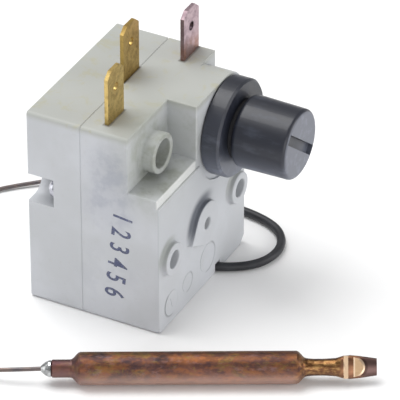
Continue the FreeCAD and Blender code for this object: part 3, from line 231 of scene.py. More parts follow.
# The bare capillary lies on the table at this height, and rises only to the bulb's middle.
RUN_UP = 0.6
RUN = [
    TAIL[-1],
    on_lay(-3.5, 38.6, RUN_UP),
    on_lay(-11.0, 35.5, RUN_UP),
    on_lay(-16.0, 28.0, RUN_UP),
    on_lay(-17.5, 17.0, RUN_UP),
    on_lay(-16.8, 4.0, RUN_UP),
    on_lay(-17.4, -9.0, RUN_UP),
    on_lay(-15.8, -19.5, RUN_UP),
    on_lay(-10.6, -26.6, 1.4),
    on_lay(-3.6, -28.7, 2.9),
    BULB_START,
]

sleeve = cord_curve("capillary_sleeve", LEAD + coil_points() + TAIL, SLEEVE_RADIUS)
capillary = cord_curve("bare_capillary", RUN, CAPILLARY_RADIUS)
for cord, nodes, slot in (
    (sleeve, ("sleeve_lead", "sleeve_coil", "sleeve_tail"), "sleeve"),
    (capillary, ("capillary_run",), "copper"),
):
    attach(cord, "housing")
    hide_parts(*nodes)


class Signal:
    """A socket that adds its own Math nodes when it is used in arithmetic."""

    def __init__(self, tree, socket):
        self.tree = tree
        self.socket = socket

    def math(self, operation, first, second, clamp=False):
        """One Math node on two signals or numbers."""
        node = self.tree.nodes.new("ShaderNodeMath")
        node.operation = operation
        node.use_clamp = clamp
        for entry, value in zip(node.inputs, (first, second)):
            if isinstance(value, Signal):
                self.tree.links.new(value.socket, entry)
            else:
                entry.default_value = value
        return Signal(self.tree, node.outputs[0])

    def __add__(self, other):
        return self.math("ADD", self, other)

    def __radd__(self, other):
        return self.math("ADD", other, self)

    def __sub__(self, other):
        return self.math("SUBTRACT", self, other)

    def __rsub__(self, other):
        return self.math("SUBTRACT", other, self)

    def __mul__(self, other):
        return self.math("MULTIPLY", self, other)

    def __rmul__(self, other):
        return self.math("MULTIPLY", other, self)

    def held(self):
        """The same value, kept between 0 and 1."""
        return self.math("ADD", self, 0.0, clamp=True)

    def size(self):
        """The same value without its sign."""
        return self.math("ABSOLUTE", self, 0.0)


class Finish:
    """A material in the making: one principled shader and the nodes that feed it."""

    def __init__(self, name, metallic=0.0, coat=0.0):
        self.material = bpy.data.materials.new(name)
        self.material.use_nodes = True
        self.tree = self.material.node_tree
        self.shader = self.tree.nodes["Principled BSDF"]
        self.shader.inputs["Metallic"].default_value = metallic
        self.shader.inputs["Coat Weight"].default_value = coat
        self.place = self.make("ShaderNodeTexCoord", output="Object")

    def make(self, kind, settings=None, output=0, **sockets):
        """One node of a kind, its settings first, then the values or links of its sockets."""
        node = self.tree.nodes.new(kind)
        for name, value in (settings or {}).items():
            if name == "stops":
                ramp = node.color_ramp
                while len(ramp.elements) < len(value):
                    ramp.elements.new(0.5)
                for element, (position, colour) in zip(ramp.elements, value):
                    element.position = position
                    element.color = (*colour, 1)
            else:
                setattr(node, name, value)
        for name, value in sockets.items():
            self.join(self.entry(node, name), value)
        return Signal(self.tree, node.outputs[output])

    def entry(self, node, name):
        """A node's own socket: by number after a letter i, or by its title."""
        if name[0] == "i" and name[1:].isdigit():
            return node.inputs[int(name[1:])]
        return node.inputs[name.replace("_", " ")]

    def join(self, entry, value):
        """Links a signal to a socket, or sets the socket to a value."""
        if isinstance(value, Signal):
            self.tree.links.new(value.socket, entry)
        elif isinstance(value, tuple) and len(value) == 3 and entry.type == "RGBA":
            entry.default_value = (*value, 1)
        else:
            entry.default_value = value

    def moved(self, centre=(0, 0, 0), turn=(0, 0, 0), scale=(1, 1, 1)):
        """The place on the piece, from a centre, turned and stretched."""
        back = tuple(-value for value in centre)
        near = self.make("ShaderNodeMapping", Vector=self.place, Location=back)
        turned = self.make("ShaderNodeMapping", Vector=near, Rotation=turn)
        return self.make("ShaderNodeMapping", Vector=turned, Scale=scale)

    def noise(self, size, detail=3.0, rough=0.5, where=None, warp=0.0):
        """Cloudy noise whose lumps are about that size, in metres."""
        return self.make(
            "ShaderNodeTexNoise",
            Vector=where or self.place,
            Scale=1 / size,
            Detail=detail,
            Roughness=rough,
            Distortion=warp,
        )

    def between(self, value, low, high):
        """0 below low, 1 above high, smooth between."""
        return self.make(
            "ShaderNodeMapRange",
            {"interpolation_type": "SMOOTHSTEP"},
            Value=value,
            From_Min=low,
            From_Max=high,
        )

    def blend(self, mask, first, second):
        """One colour where the mask is 0 and another where it is 1."""
        return self.make("ShaderNodeMix", {"data_type": "RGBA"}, output=2, i0=mask, i6=first, i7=second)

    def ramp(self, value, stops):
        """A colour for each value, from stops of a value and its colour."""
        return self.make("ShaderNodeValToRGB", {"stops": stops}, Fac=value)

    def apart(self, where):
        """The three numbers of a place."""
        node = self.tree.nodes.new("ShaderNodeSeparateXYZ")
        self.tree.links.new(where.socket, node.inputs[0])
        return [Signal(self.tree, output) for output in node.outputs]

    def distance(self, point, where=None):
        """How far the place on the piece is from a point, in metres."""
        settings = {"operation": "DISTANCE"}
        place = where or self.place
        return self.make("ShaderNodeVectorMath", settings, output=1, i0=place, i1=tuple(point))

    def relief(self, height, depth, strength=1.0):
        """Bumps of that depth, in metres, where the height goes from 0 to 1."""
        normal = self.make("ShaderNodeBump", Height=height, Distance=depth, Strength=strength)
        self.feed(Normal=normal)

    def feed(self, **sockets):
        """Values or links for the shader's own sockets."""
        for name, value in sockets.items():
            self.join(self.shader.inputs[name.replace("_", " ")], value)


# Finishes. Their patterns are as large as what shows on the real thing. Sizes and reaches are in metres.
# Colours of the moulding: first the plastic itself, then what age and hands have put on it, and painted
# shade, shadow and highlight.
LIGHT_GREY = (0.545, 0.56, 0.592)
DEEPER_GREY = (0.495, 0.51, 0.532)
SPECK_GREY = (0.45, 0.455, 0.445)
TOP_SHADED_GREY = (0.39, 0.40, 0.372)
FRONT_SHADED_GREY = (0.445, 0.46, 0.48)
SMALL_FACE_SHADED_GREY = (0.37, 0.38, 0.355)
STRIP_PAINTED_HIGHLIGHT = (0.68, 0.69, 0.68)
OLIVE_STAIN = (0.40, 0.385, 0.265)
SLOT_SHADOW_DARK = (0.085, 0.07, 0.055)
RECESS_FILM_AND_SHADE = (0.29, 0.305, 0.265)
PAINTED_SHADOW_OLIVE = (0.17, 0.18, 0.14)
MARK_SHADOW = (0.24, 0.255, 0.27)
INK_SMUDGE = (0.32, 0.335, 0.405)
INK_HAZE = (0.40, 0.42, 0.47)
# Where a look comes in, from nothing to its full strength, by height.
TOP_RISE = (0.0415, 0.0433)
FRONT_RISE = (0.006, 0.024)
SMALL_FACE_RISE = (0.036, 0.039)
STRIP_BOTTOM = (0.0292, 0.0296)
STRIP_TOP = (0.0312, 0.0314)
# The same forward, given from the back: the strip's front.
STRIP_FORWARD = (28.1, 28.4)
# The same across the object: the strip's far end and the near side.
STRIP_END = (-0.0032, -0.0026)
NEAR_SIDE = (-0.0189, -0.0186)
# Painted shadow reaches this far round a blade's slot.
SLOT_SHADOW_REACH = 0.55 * MM
# A point in the corner recess, where the film and the painted shade are thickest.
SHADED_RECESS_CORNER = (26, 8, 36)
# Painted shade beside the front's bosses: place across, height, inner and outer radius, colour, strength.
BOSS_SHADE = (
    (18.3, 15.75, 4.45, 7.4, (0.10, 0.11, 0.135), 0.92),
    (4.3, 15.75, 3.1, 5.2, (0.26, 0.275, 0.25), 0.7),
    (32.3, 15.75, 3.2, 4.4, (0.28, 0.29, 0.25), 0.5),
)
# Spots of painted shadow and of smudged ink: middle, reach in metres, strength.
SHADOW_SPOTS = (((25.6, 3.6, 31.2), 0.0042, 0.5), ((23.2, 8.6, 36.0), 0.006, 0.3))
INK_SPOTS = (((18.0, 0, 26.5), 0.0078, 0.62), ((18.5, 0, 34.5), 0.0085, 0.62))
HAZE_MIDDLE = (17.5, 0, 10)


def moulded_plastic():
    """Light grey moulding with a fine grain, dirt where it gathers, painted shade and highlight, and
    smudged ink on one side.
    """
    coat = Finish("moulded_plastic")
    clouds = coat.between(coat.noise(0.011, 4), 0.35, 0.68)
    grain = coat.noise(0.00022, 2, 0.6)
    specks = coat.between(coat.noise(0.0011, 2, 0.6), 0.6, 0.72)
    worn = coat.between(coat.noise(0.0035, 4, 0.65), 0.42, 0.66)
    out, side, up = coat.apart(coat.place)
    light = coat.blend(clouds, LIGHT_GREY, DEEPER_GREY)
    light = coat.blend(specks * 0.2, light, SPECK_GREY)
    # The top is painted darker and a little yellower: painted shade.
    top = coat.between(up, *TOP_RISE)
    light = coat.blend(top * 0.9, light, TOP_SHADED_GREY)

    # Olive stains lie on the top, and painted shadow darkens the slots that the blades stand in.
    stains = coat.between(coat.noise(0.0042, 5, 0.72, warp=0.6), 0.52, 0.66)
    light = coat.blend(top * stains * 0.55, light, OLIVE_STAIN)
    for blade in BLADES:
        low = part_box(blade)[0]
        slot = top
        for value, start, width in ((out, low[0], BLADE_THICK * MM), (side, low[1], BLADE_WIDTH * MM)):
            beside = (value - (start + width / 2)).size() - width / 2
            slot = slot * (1.0 - coat.between(beside, SLOT_SHADOW_REACH * 0.4, SLOT_SHADOW_REACH))
        light = coat.blend(slot * (0.55 + worn * 0.35), light, SLOT_SHADOW_DARK)

    # Handling has left a faint olive film in the corner recess and on the edges round it, and painted shade
    # darkens the recess further.
    film = 1.0 - coat.between(coat.distance(at(*SHADED_RECESS_CORNER)), 0.004, 0.016)
    light = coat.blend(film * (0.6 + worn * 0.35), light, RECESS_FILM_AND_SHADE)

    # The front is painted a little greyer towards its top: painted shade.
    front = coat.between(out, depth_at(FACE - 0.4), depth_at(FACE - 0.1))
    light = coat.blend(front * coat.between(up, *FRONT_RISE) * 0.8, light, FRONT_SHADED_GREY)

    # The small face beside the rounded shoulder is painted in the top's darker, yellower grey: painted
    # shade, as on the top.
    small_face = coat.between(side, across_at(29), across_at(31)) * coat.between(up, *SMALL_FACE_RISE)
    in_plane = 1.0 - coat.between((out - depth_at(BOX_FACE)).size(), 0.00005, 0.00015)
    light = coat.blend(small_face * in_plane * 0.5, light, SMALL_FACE_SHADED_GREY)

    # Painted shade lies on the face to the upper left of each boss and thins out away from it.
    for y, z, inner, outer, shade, strength in BOSS_SHADE:
        centre = at(FACE, y, z)
        radius = coat.distance(centre)
        ring = coat.between(radius, inner * MM, (inner + 0.25) * MM)
        fade = 1.0 - coat.between(radius, (inner + 0.7) * MM, outer * MM)
        left = (centre.y - side) * 0.55 + (up - centre.z) * 0.83
        upper_left = coat.between(left, 0.0002, 0.0042)
        under_rim = 1.0 - coat.between(out, depth_at(FACE + 0.95), depth_at(FACE + 1.15))
        in_front = coat.between(out, depth_at(FACE - 0.3), depth_at(FACE - 0.1))
        light = coat.blend(ring * fade * upper_left * under_rim * in_front * strength, light, shade)

    # Painted shadow darkens the recess floor under the guide boss.
    for spot, reach, strength in SHADOW_SPOTS:
        shadowed = 1.0 - coat.between(coat.distance(at(*spot)), 0.0008, reach)
        light = coat.blend(shadowed * (0.5 + worn * 0.5) * strength, light, PAINTED_SHADOW_OLIVE)

    # The strip over the lower front is painted pale: a painted highlight along its edge.
    strip = coat.between(up, *STRIP_BOTTOM) * (1.0 - coat.between(up, *STRIP_TOP))
    strip = strip * coat.between(out, depth_at(STRIP_FORWARD[0]), depth_at(STRIP_FORWARD[1]))
    strip = strip * (1.0 - coat.between(side, *STRIP_END))
    light = coat.blend(strip * 0.75, light, STRIP_PAINTED_HIGHLIGHT)

    # A thin line of painted shadow follows one side of each moulded mark.
    for (y, z, size), facing in zip(MARKS, (-1, 1, 1)):
        radius = coat.distance(at(FACE, y, z))
        line = coat.between(radius, (size - 0.15) * MM, size * MM)
        line = line * (1.0 - coat.between(radius, (size + 0.15) * MM, (size + 0.5) * MM))
        ahead = (side - across_at(y)) * facing - (up - at(0, 0, z).z) * 0.35
        one_side = coat.between(ahead, -0.0002, 0.0014)
        light = coat.blend(line * one_side * 0.72, light, MARK_SHADOW)

    # Ink has smudged over the near side, and a little of it is left lower down.
    on_side = 1.0 - coat.between(side, *NEAR_SIDE)
    for spot, reach, strength in INK_SPOTS:
        smudge = 1.0 - coat.between(coat.distance(at(*spot)), 0.0015, reach)
        light = coat.blend(on_side * smudge * (0.35 + worn * 0.65) * strength, light, INK_SMUDGE)
    haze = 1.0 - coat.between(coat.distance(at(*HAZE_MIDDLE)), 0.002, 0.010)
    light = coat.blend(on_side * haze * worn * 0.25, light, INK_HAZE)
    coat.feed(Base_Color=light, Roughness=0.5 + grain * 0.14)
    coat.relief(grain * 0.5 + coat.noise(0.0012, 3) * 0.5, 0.00003, 0.5)
    return coat.material


DEEP_BLACK = (0.010, 0.012, 0.021)
RUBBED_BLACK = (0.028, 0.033, 0.05)
# Painted light greys the cap's end face and the near side, and a painted reflection of the table greys the
# lower part.
END_PAINTED_LIGHT = (0.185, 0.197, 0.24)
NEAR_SIDE_PAINTED_LIGHT = (0.072, 0.08, 0.105)
LOWER_PAINTED_REFLECTION = (0.18, 0.197, 0.25)
# Where the black plastic turns plain black, across from its near side and up from its underside.
NEAR_HALF = (-0.0015, 0.0035)
LOWER_HALF = (0.0265, 0.0345)


def black_plastic():
    """Satin black moulding with rub marks, greyed by painted light at the cap's end and on its near side,
    and by a painted reflection of the table low down.
    """
    coat = Finish("black_plastic", coat=0.15)
    rub = coat.noise(0.0022, 5, 0.65, where=coat.moved(scale=(0.35, 1, 1)))
    grain = coat.noise(0.00018, 2, 0.6)
    marks = coat.between(rub, 0.5, 0.75)
    out, side, up = coat.apart(coat.place)
    dark = coat.blend(marks, DEEP_BLACK, RUBBED_BLACK)
    # Painted light greys the cap's end face.
    lit_end = coat.between(out, depth_at(CAP_END - 0.25), depth_at(CAP_END - 0.05))
    dark = coat.blend(lit_end * (0.65 + marks * 0.35), dark, END_PAINTED_LIGHT)
    # Painted light greys the near side.
    lit_near_side = 1.0 - coat.between(side, *NEAR_HALF)
    dark = coat.blend(lit_near_side * (0.4 + marks * 0.5), dark, NEAR_SIDE_PAINTED_LIGHT)
    # A painted reflection of the table greys the lower part.
    reflecting_low = 1.0 - coat.between(up, *LOWER_HALF)
    dark = coat.blend(reflecting_low * (1.0 - lit_end) * (0.65 + marks * 0.35), dark, LOWER_PAINTED_REFLECTION)
    coat.feed(Base_Color=dark, Roughness=0.36 + rub * 0.16 + grain * 0.04)
    coat.relief(grain * 0.6 + rub * 0.4, 0.000012, 0.6)
    return coat.material


def cap_rubber():
    """The washer under the cap: dull black rubber."""
    coat = Finish("cap_rubber")
    grain = coat.noise(0.0003, 3)
    colour = coat.blend(grain, (0.012, 0.012, 0.014), (0.03, 0.03, 0.033))
    coat.feed(Base_Color=colour, Roughness=0.6 + grain * 0.2)
    coat.relief(grain, 0.00002, 0.6)
    return coat.material


def sleeve_plastic():
    """Soft black sleeve, slightly blue where rubbing has marked it."""
    coat = Finish("sleeve_plastic")
    rub = coat.noise(0.004, 4, 0.6)
    grain = coat.noise(0.0003, 3)
    dark = coat.blend(coat.between(rub, 0.4, 0.7), (0.016, 0.017, 0.021), (0.032, 0.034, 0.041))
    coat.feed(Base_Color=dark, Roughness=0.42 + rub * 0.18)
    coat.relief(grain, 0.00002, 0.4)
    return coat.material


# Where the marks end: the heat's brown up the blade, the painted shade out from its hole, and the darker
# edge in from its near edge.
HEATED_FOOT = (0.0440, 0.0490)
HOLE_EDGE = (0.00088, 0.00112)
NEAR_EDGE = (0.00003, 0.00012)
HEAT_BROWN = (0.36, 0.16, 0.07)
HOLE_SHADE_AND_EDGE_DARK = (0.045, 0.03, 0.038)


def stamped_metal(name, bright, dull, stain, stain_share, seed, heated=None):
    """Rolled strip with tarnish clouds and drawn lines along Z.

    Heat browns the foot of the blade that is named; painted shade darkens its hole, and its near edge is
    darker too.
    """
    coat = Finish(name, metallic=1.0)
    place = coat.moved(centre=(seed, 0, 0))
    drawn = coat.noise(0.00045, 4, 0.6, where=coat.moved(scale=(1, 1, 0.12)))
    clouds = coat.between(coat.noise(0.0021, 5, 0.65, where=place, warp=0.4), 0.38, 0.64)
    spots = coat.between(coat.noise(0.0008, 3, 0.6, where=place), 0.62 - stain_share, 0.74 - stain_share)
    colour = coat.blend(clouds, bright, dull)
    colour = coat.blend(spots * 0.6, colour, stain)
    colour = coat.blend(drawn * 0.2, colour, bright)
    if heated:
        low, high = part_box(heated)
        side, up = coat.apart(coat.place)[1:]
        foot = 1.0 - coat.between(up, *HEATED_FOOT)
        colour = coat.blend(foot * (0.28 + clouds * 0.45), colour, HEAT_BROWN)
        # Painted shade darkens the hole and a thin ring round it, and the near edge is darker.
        hole = (0, low[1] + BLADE_WIDTH / 2 * MM, high[2] - HOLE_DOWN * MM)
        reach = coat.distance(hole, where=coat.moved(scale=(0, 1, 1)))
        hole_shade = 1.0 - coat.between(reach, *HOLE_EDGE)
        narrow = 1.0 - coat.between(side, low[1] + NEAR_EDGE[0], low[1] + NEAR_EDGE[1])
        colour = coat.blend((hole_shade * 0.9 + narrow * 0.36).held(), colour, HOLE_SHADE_AND_EDGE_DARK)
    coat.feed(Base_Color=colour, Roughness=0.3 + clouds * 0.14 + drawn * 0.12)
    coat.relief(drawn, 0.00001, 0.5)
    return coat.material


# Colours of the bulb's oxide, dark to light, by the value where each stands.
BULB_OXIDE = (
    (0.37, (0.03, 0.023, 0.026)),
    (0.45, (0.046, 0.031, 0.03)),
    (0.54, (0.082, 0.048, 0.043)),
    (0.65, (0.135, 0.078, 0.064)),
)
WORKED_GOLD = (
    (0.38, (0.065, 0.034, 0.03)),
    (0.48, (0.15, 0.066, 0.025)),
    (0.60, (0.38, 0.22, 0.085)),
)
RUST = (0.33, 0.125, 0.05)
PLUM = (0.11, 0.066, 0.074)
OLIVE_OXIDE = (0.20, 0.15, 0.045)
UNDERSIDE_PAINTED_REFLECTION = (0.64, 0.45, 0.39)
SOOTY_ROSE = (0.14, 0.07, 0.075)
END_BROWN = (0.24, 0.115, 0.07)
TIP_BROWN = (0.105, 0.07, 0.07)
FLAT_EDGE = (0.05, 0.03, 0.024)
# Worked copper with a painted highlight, and the paler painted highlight, on the pressed end.
WORKED_BRIGHT_AND_HIGHLIGHT = (0.47, 0.325, 0.195)
FLAT_PAINTED_HIGHLIGHT = (0.72, 0.55, 0.40)
# Layers of small flecks: how far up their pattern is moved, their size, where they start, strength, colour.
FLECKS = (
    (0.0, 0.0012, 0.48, 0.45, (0.28, 0.11, 0.045)),
    (0.031, 0.0016, 0.46, 0.55, (0.05, 0.036, 0.046)),
    (0.017, 0.0019, 0.54, 0.4, (0.24, 0.17, 0.05)),
    (0.043, 0.0012, 0.53, 0.3, (0.27, 0.18, 0.19)),
)
# Places along the bulb in millimetres from the capillary's end, each over a short way.
SOOTY_STRETCH = (5.0, 10.0)
RUSTIER = (24.0, 33.0)
WORKED = (47.5, 51.5)
PRESSED_END = (57.2, 57.8)
BAND_STARTS = (58.02, 58.12)
BAND_ENDS = (58.93, 59.03)
FLAT_MIDDLE = 59.6
FLAT_STARTS = (59.95, 60.05)
FLAT_RIM = (60.25, 60.35)
TIP = (60.4, 62.6)
# The end is pressed flat, and its flat is turned round the bulb by this angle.
PRESS_TURN = math.radians(56)


def annealed_copper():
    """Bulb copper: brown and rose oxide in streaks along it, brighter where its end was worked and under a
    painted highlight there, paler below as a painted reflection of the table.
    """
    coat = Finish("annealed_copper", metallic=1.0)
    straight = coat.moved(centre=BULB_START, turn=(0, 0, -LAY), scale=(1 / MM, 1 / MM, 1 / MM))
    along, _, up = coat.apart(straight)
    lengthwise = coat.moved(centre=BULB_START, turn=(0, 0, -LAY), scale=(0.16, 1, 1))
    patches = coat.moved(centre=BULB_START, turn=(0, 0, -LAY), scale=(0.6, 1, 1))
    streaks = coat.noise(0.0009, 5, 0.68, where=lengthwise)
    speckle = coat.noise(0.0005, 3, 0.6, where=patches)
    clouds = coat.noise(0.0036, 5, 0.7, where=patches, warp=0.5)
    olive = coat.between(coat.noise(0.0026, 4, 0.65, where=patches, warp=0.8), 0.54, 0.64)
    plum = coat.between(coat.noise(0.0036, 4, 0.65, where=lengthwise, warp=0.4), 0.5, 0.62)
    rust = coat.between(coat.noise(0.0052, 4, 0.6, where=patches), 0.45, 0.57)
    later = coat.between(along, *RUSTIER)
    rust = (rust + later * 0.5).held()
    colour = coat.ramp(clouds * 0.5 + streaks * 0.25 + speckle * 0.25, BULB_OXIDE)
    colour = coat.blend(rust * (0.1 + speckle * 0.75 + later * 0.3), colour, RUST)
    colour = coat.blend(plum * 0.45, colour, PLUM)
    colour = coat.blend(olive * 0.5, colour, OLIVE_OXIDE)
    for rise, size, low, strength, shade in FLECKS:
        centre = BULB_START + Vector((0, 0, rise))
        elsewhere = coat.moved(centre=centre, turn=(0, 0, -LAY), scale=(0.6, 1, 1))
        fleck = coat.between(coat.noise(size, 4, 0.68, where=elsewhere), low, low + 0.16)
        colour = coat.blend(fleck * strength, colour, shade)
    # The underside is paler: a painted reflection of the table.
    under = 1.0 - coat.between(up, -2.2, 1.5)
    colour = coat.blend(under * (0.45 + streaks * 0.6), colour, UNDERSIDE_PAINTED_REFLECTION)
    sooty = 1.0 - coat.between(along, *SOOTY_STRETCH)
    colour = coat.blend(sooty * (0.35 + streaks * 0.5), colour, SOOTY_ROSE)
    worked = coat.between(along, *WORKED)
    gold = coat.ramp(streaks * 0.6 + speckle * 0.4, WORKED_GOLD)
    colour = coat.blend(worked * 0.85, colour, gold)

    # The pressed end: a bright band and a bright flat of worked copper with a painted highlight, dark round
    # them and at the tip.
    pressed = coat.make("ShaderNodeMapping", Vector=straight, Rotation=(-PRESS_TURN, 0, 0))
    wide, proud = coat.apart(pressed)[1:]
    outside = coat.between(proud.size(), 0.80, 0.84)
    end = coat.between(along, *PRESSED_END)
    colour = coat.blend(end * 0.75, colour, END_BROWN)
    tip = coat.between(along, *TIP)
    colour = coat.blend(tip * 0.85, colour, TIP_BROWN)
    band = coat.between(along, *BAND_STARTS) * (1.0 - coat.between(along, *BAND_ENDS))
    ahead_of_flat = (along - FLAT_MIDDLE) * 0.38
    beside_flat = wide * 0.46
    oval = ahead_of_flat * ahead_of_flat + beside_flat * beside_flat
    from_start = coat.between(along, *FLAT_STARTS)
    facing = coat.between(proud.size(), 0.42, 0.55)
    flat = from_start * (1.0 - coat.between(oval, 0.94, 1.0)) * facing
    crescent = from_start * coat.between(oval, 0.98, 1.04) * (1.0 - coat.between(oval, 1.25, 1.6)) * facing
    colour = coat.blend(crescent * 0.7, colour, FLAT_EDGE)
    rim = coat.between(oval, 0.68, 0.78) + (1.0 - coat.between(along, *FLAT_RIM))
    bright = (band * outside + flat).held()
    colour = coat.blend(bright * (0.6 + speckle * 0.5), colour, WORKED_BRIGHT_AND_HIGHLIGHT)
    # The pale rim of the flat and the pale band are a painted highlight.
    pale = flat * rim.held() * 0.75 + band * outside * 0.4
    colour = coat.blend(pale.held(), colour, FLAT_PAINTED_HIGHLIGHT)
    coat.feed(Base_Color=colour, Roughness=0.42 + streaks * 0.2 - worked * 0.16)
    coat.relief(streaks * 0.6 + clouds * 0.4, 0.00003, 0.5)
    return coat.material


def bright_solder():
    """Solder that ran round the capillary and set in ripples."""
    coat = Finish("bright_solder", metallic=1.0)
    ripples = coat.noise(0.0009, 3, 0.5, warp=0.6)
    colour = coat.blend(coat.between(ripples, 0.35, 0.7), (0.56, 0.57, 0.57), (0.31, 0.315, 0.32))
    coat.feed(Base_Color=colour, Roughness=0.16 + ripples * 0.2)
    coat.relief(ripples, 0.00006, 0.7)
    return coat.material


def drawn_copper():
    """The bare capillary: dull drawn copper that has greyed."""
    coat = Finish("drawn_copper", metallic=1.0)
    haze = coat.noise(0.003, 4, 0.6)
    colour = coat.blend(coat.between(haze, 0.35, 0.65), (0.21, 0.165, 0.15), (0.125, 0.117, 0.125))
    coat.feed(Base_Color=colour, Roughness=0.34 + haze * 0.2)
    coat.relief(coat.noise(0.0002, 3), 0.000006, 0.5)
    return coat.material


def plated_steel(name, colour, rough):
    """Rolled or plated steel with fine scratches."""
    coat = Finish(name, metallic=1.0)
    scratch = coat.noise(0.0002, 4, 0.6, where=coat.moved(scale=(0.1, 1, 1)))
    haze = coat.noise(0.002, 3)
    darker = tuple(value * 0.72 for value in colour)
    coat.feed(Base_Color=coat.blend(haze, colour, darker), Roughness=rough + scratch * 0.15)
    coat.relief(scratch, 0.000006, 0.5)
    return coat.material


def red_button():
    """The reset plunger: red moulding with a faint grain."""
    coat = Finish("red_button")
    grain = coat.noise(0.0003, 3)
    colour = coat.blend(grain, (0.42, 0.03, 0.025), (0.52, 0.05, 0.04))
    coat.feed(Base_Color=colour, Roughness=0.35 + grain * 0.15)
    coat.relief(grain, 0.00001, 0.5)
    return coat.material


def glazed_ceramic():
    """The push pin: off-white ceramic."""
    coat = Finish("glazed_ceramic", coat=0.4)
    haze = coat.noise(0.0008, 3)
    colour = coat.blend(haze, (0.78, 0.76, 0.70), (0.86, 0.84, 0.79))
    coat.feed(Base_Color=colour, Roughness=0.25 + haze * 0.15)
    return coat.material


def print_ink():
    """Blue-black stamping ink that has not taken everywhere."""
    coat = Finish("print_ink")
    thin = coat.between(coat.noise(0.0009, 4, 0.7), 0.3, 0.62)
    dots = coat.noise(0.00022, 2, 0.5)
    colour = coat.blend(thin, (0.065, 0.075, 0.155), (0.16, 0.18, 0.30))
    coat.feed(Base_Color=colour, Roughness=0.5 + dots * 0.2, Alpha=(1.0 - thin * 0.45 - dots * 0.1).held())
    return coat.material


HOUSING = moulded_plastic()
BLACK = black_plastic()
# Strip metals: name, bright, dull and stained colour.
BRASS = ("brass_strip", (0.54, 0.375, 0.125), (0.32, 0.215, 0.07), (0.13, 0.075, 0.035))
PALE_BRASS = ("pale_brass_strip", (0.64, 0.47, 0.175), (0.40, 0.285, 0.105), (0.16, 0.095, 0.045))
COPPER = ("copper_strip", (0.48, 0.36, 0.39), (0.33, 0.24, 0.27), (0.14, 0.095, 0.115))
SOFT_COPPER = ("blade_copper", (0.72, 0.42, 0.26), (0.55, 0.32, 0.2), (0.35, 0.2, 0.13))
BAR_BRASS = ("turned_brass", (0.7, 0.5, 0.22), (0.6, 0.42, 0.17), (0.4, 0.27, 0.1))
STEEL = plated_steel("rolled_steel", (0.56, 0.56, 0.57), 0.32)
SILVER = plated_steel("silver_contact", (0.86, 0.85, 0.83), 0.2)
ZINC = plated_steel("plated_screw", (0.56, 0.57, 0.63), 0.16)
TURNED_BRASS = stamped_metal(*BAR_BRASS, 0.0, 0.3)
FINISH_OF = {
    "front_housing": HOUSING,
    "rear_cover": HOUSING,
    "cover_screw_near": ZINC,
    "cover_screw_far": ZINC,
    "terminal_common": stamped_metal(*PALE_BRASS, 0.03, 0.0),
    "terminal_main": stamped_metal(*BRASS, 0.03, 0.0),
    "terminal_signal": stamped_metal(*COPPER, 0.05, 0.1, heated="terminal_signal"),
    "contact_blade": stamped_metal(*SOFT_COPPER, 0.0, 0.2),
    "moving_contact_main": SILVER,
    "moving_contact_signal": SILVER,
    "fixed_contact_main": SILVER,
    "fixed_contact_signal": SILVER,
    "trip_lever": STEEL,
    "lever_pin": STEEL,
    "capsule_cup": STEEL,
    "capsule_diaphragm": STEEL,
    "push_pin": glazed_ceramic(),
    "calibration_screw": TURNED_BRASS,
    "calibration_spring": STEEL,
    "threaded_bush": TURNED_BRASS,
    "spring_seat": STEEL,
    "reset_plunger": red_button(),
    "reset_spring": STEEL,
    "ring_nut": BLACK,
    "cap_washer": cap_rubber(),
    "protective_cap": BLACK,
    "capillary_inner": drawn_copper(),
    "sleeve_in_groove": sleeve_plastic(),
    "bulb_solder": bright_solder(),
    "sensing_bulb": annealed_copper(),
}


def dress(piece, material):
    """Gives a piece one finish all over."""
    piece.data.materials.clear()
    piece.data.materials.append(material)


for node, material in FINISH_OF.items():
    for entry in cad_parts[node].material_slots:
        entry.material = material
dress(sleeve, FINISH_OF["sleeve_in_groove"])
dress(capillary, FINISH_OF["capillary_inner"])


# How the modelled pieces are smoothed and rounded.
SMOOTH_BELOW = math.radians(35)
ROUND_ABOVE = math.radians(40)
ROUND_STEPS = 2
# A face counts as facing a way when its normal has at least this share along it.
FACING = 0.9


def nothing_selected():
    """Deselects everything, because an operator acts on all that is selected."""
    bpy.ops.object.select_all(action="DESELECT")


def settle(piece):
    """Puts the place, turn and size of a piece into its mesh."""
    nothing_selected()
    piece.select_set(True)
    bpy.context.view_layer.objects.active = piece
    bpy.ops.object.transform_apply(location=True, rotation=True, scale=True)


def pick_faces(piece, wanted):
    """Edit mode with only the wanted faces selected."""
    for face in piece.data.polygons:
        face.select = wanted(face)
    for edge in piece.data.edges:
        edge.select = False
    for vertex in piece.data.vertices:
        vertex.select = False
    for face in piece.data.polygons:
        if face.select:
            for corner in face.vertices:
                piece.data.vertices[corner].select = True
    bpy.ops.object.mode_set(mode="EDIT")
    bpy.ops.mesh.select_mode(type="FACE")


def round_edges(piece, width):
    """Rounds the sharp edges by a width in millimetres."""
    bevel = piece.modifiers.new("rounded", "BEVEL")
    bevel.width = width * MM
    bevel.segments = ROUND_STEPS
    bevel.limit_method = "ANGLE"
    bevel.angle_limit = ROUND_ABOVE
    bpy.context.view_layer.objects.active = piece
    bpy.ops.object.modifier_apply(modifier="rounded")


def finish_piece(piece, material):
    """Smooth where it is round, dressed, and carried by the housing."""
    nothing_selected()
    piece.select_set(True)
    bpy.context.view_layer.objects.active = piece
    bpy.ops.object.shade_smooth_by_angle(angle=SMOOTH_BELOW)
    dress(piece, material)
    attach(piece, "housing")


# Print on the near side: plain counting figures, stamped downwards.
FIGURE_HEIGHT = 4.3
# The type's size for a figure of that height, and how narrow and how bold the figures are.
TYPE_SIZE = 1.38
FIGURE_NARROW = 0.72
FIGURE_BOLD = 0.00009
# The middles of the first and the last figure, from the back and from the underside.
FIGURE_TOP = (20.75, 25.1)
FIGURE_END = (18.7, 6.9)
PRINT_PROUD = 0.012


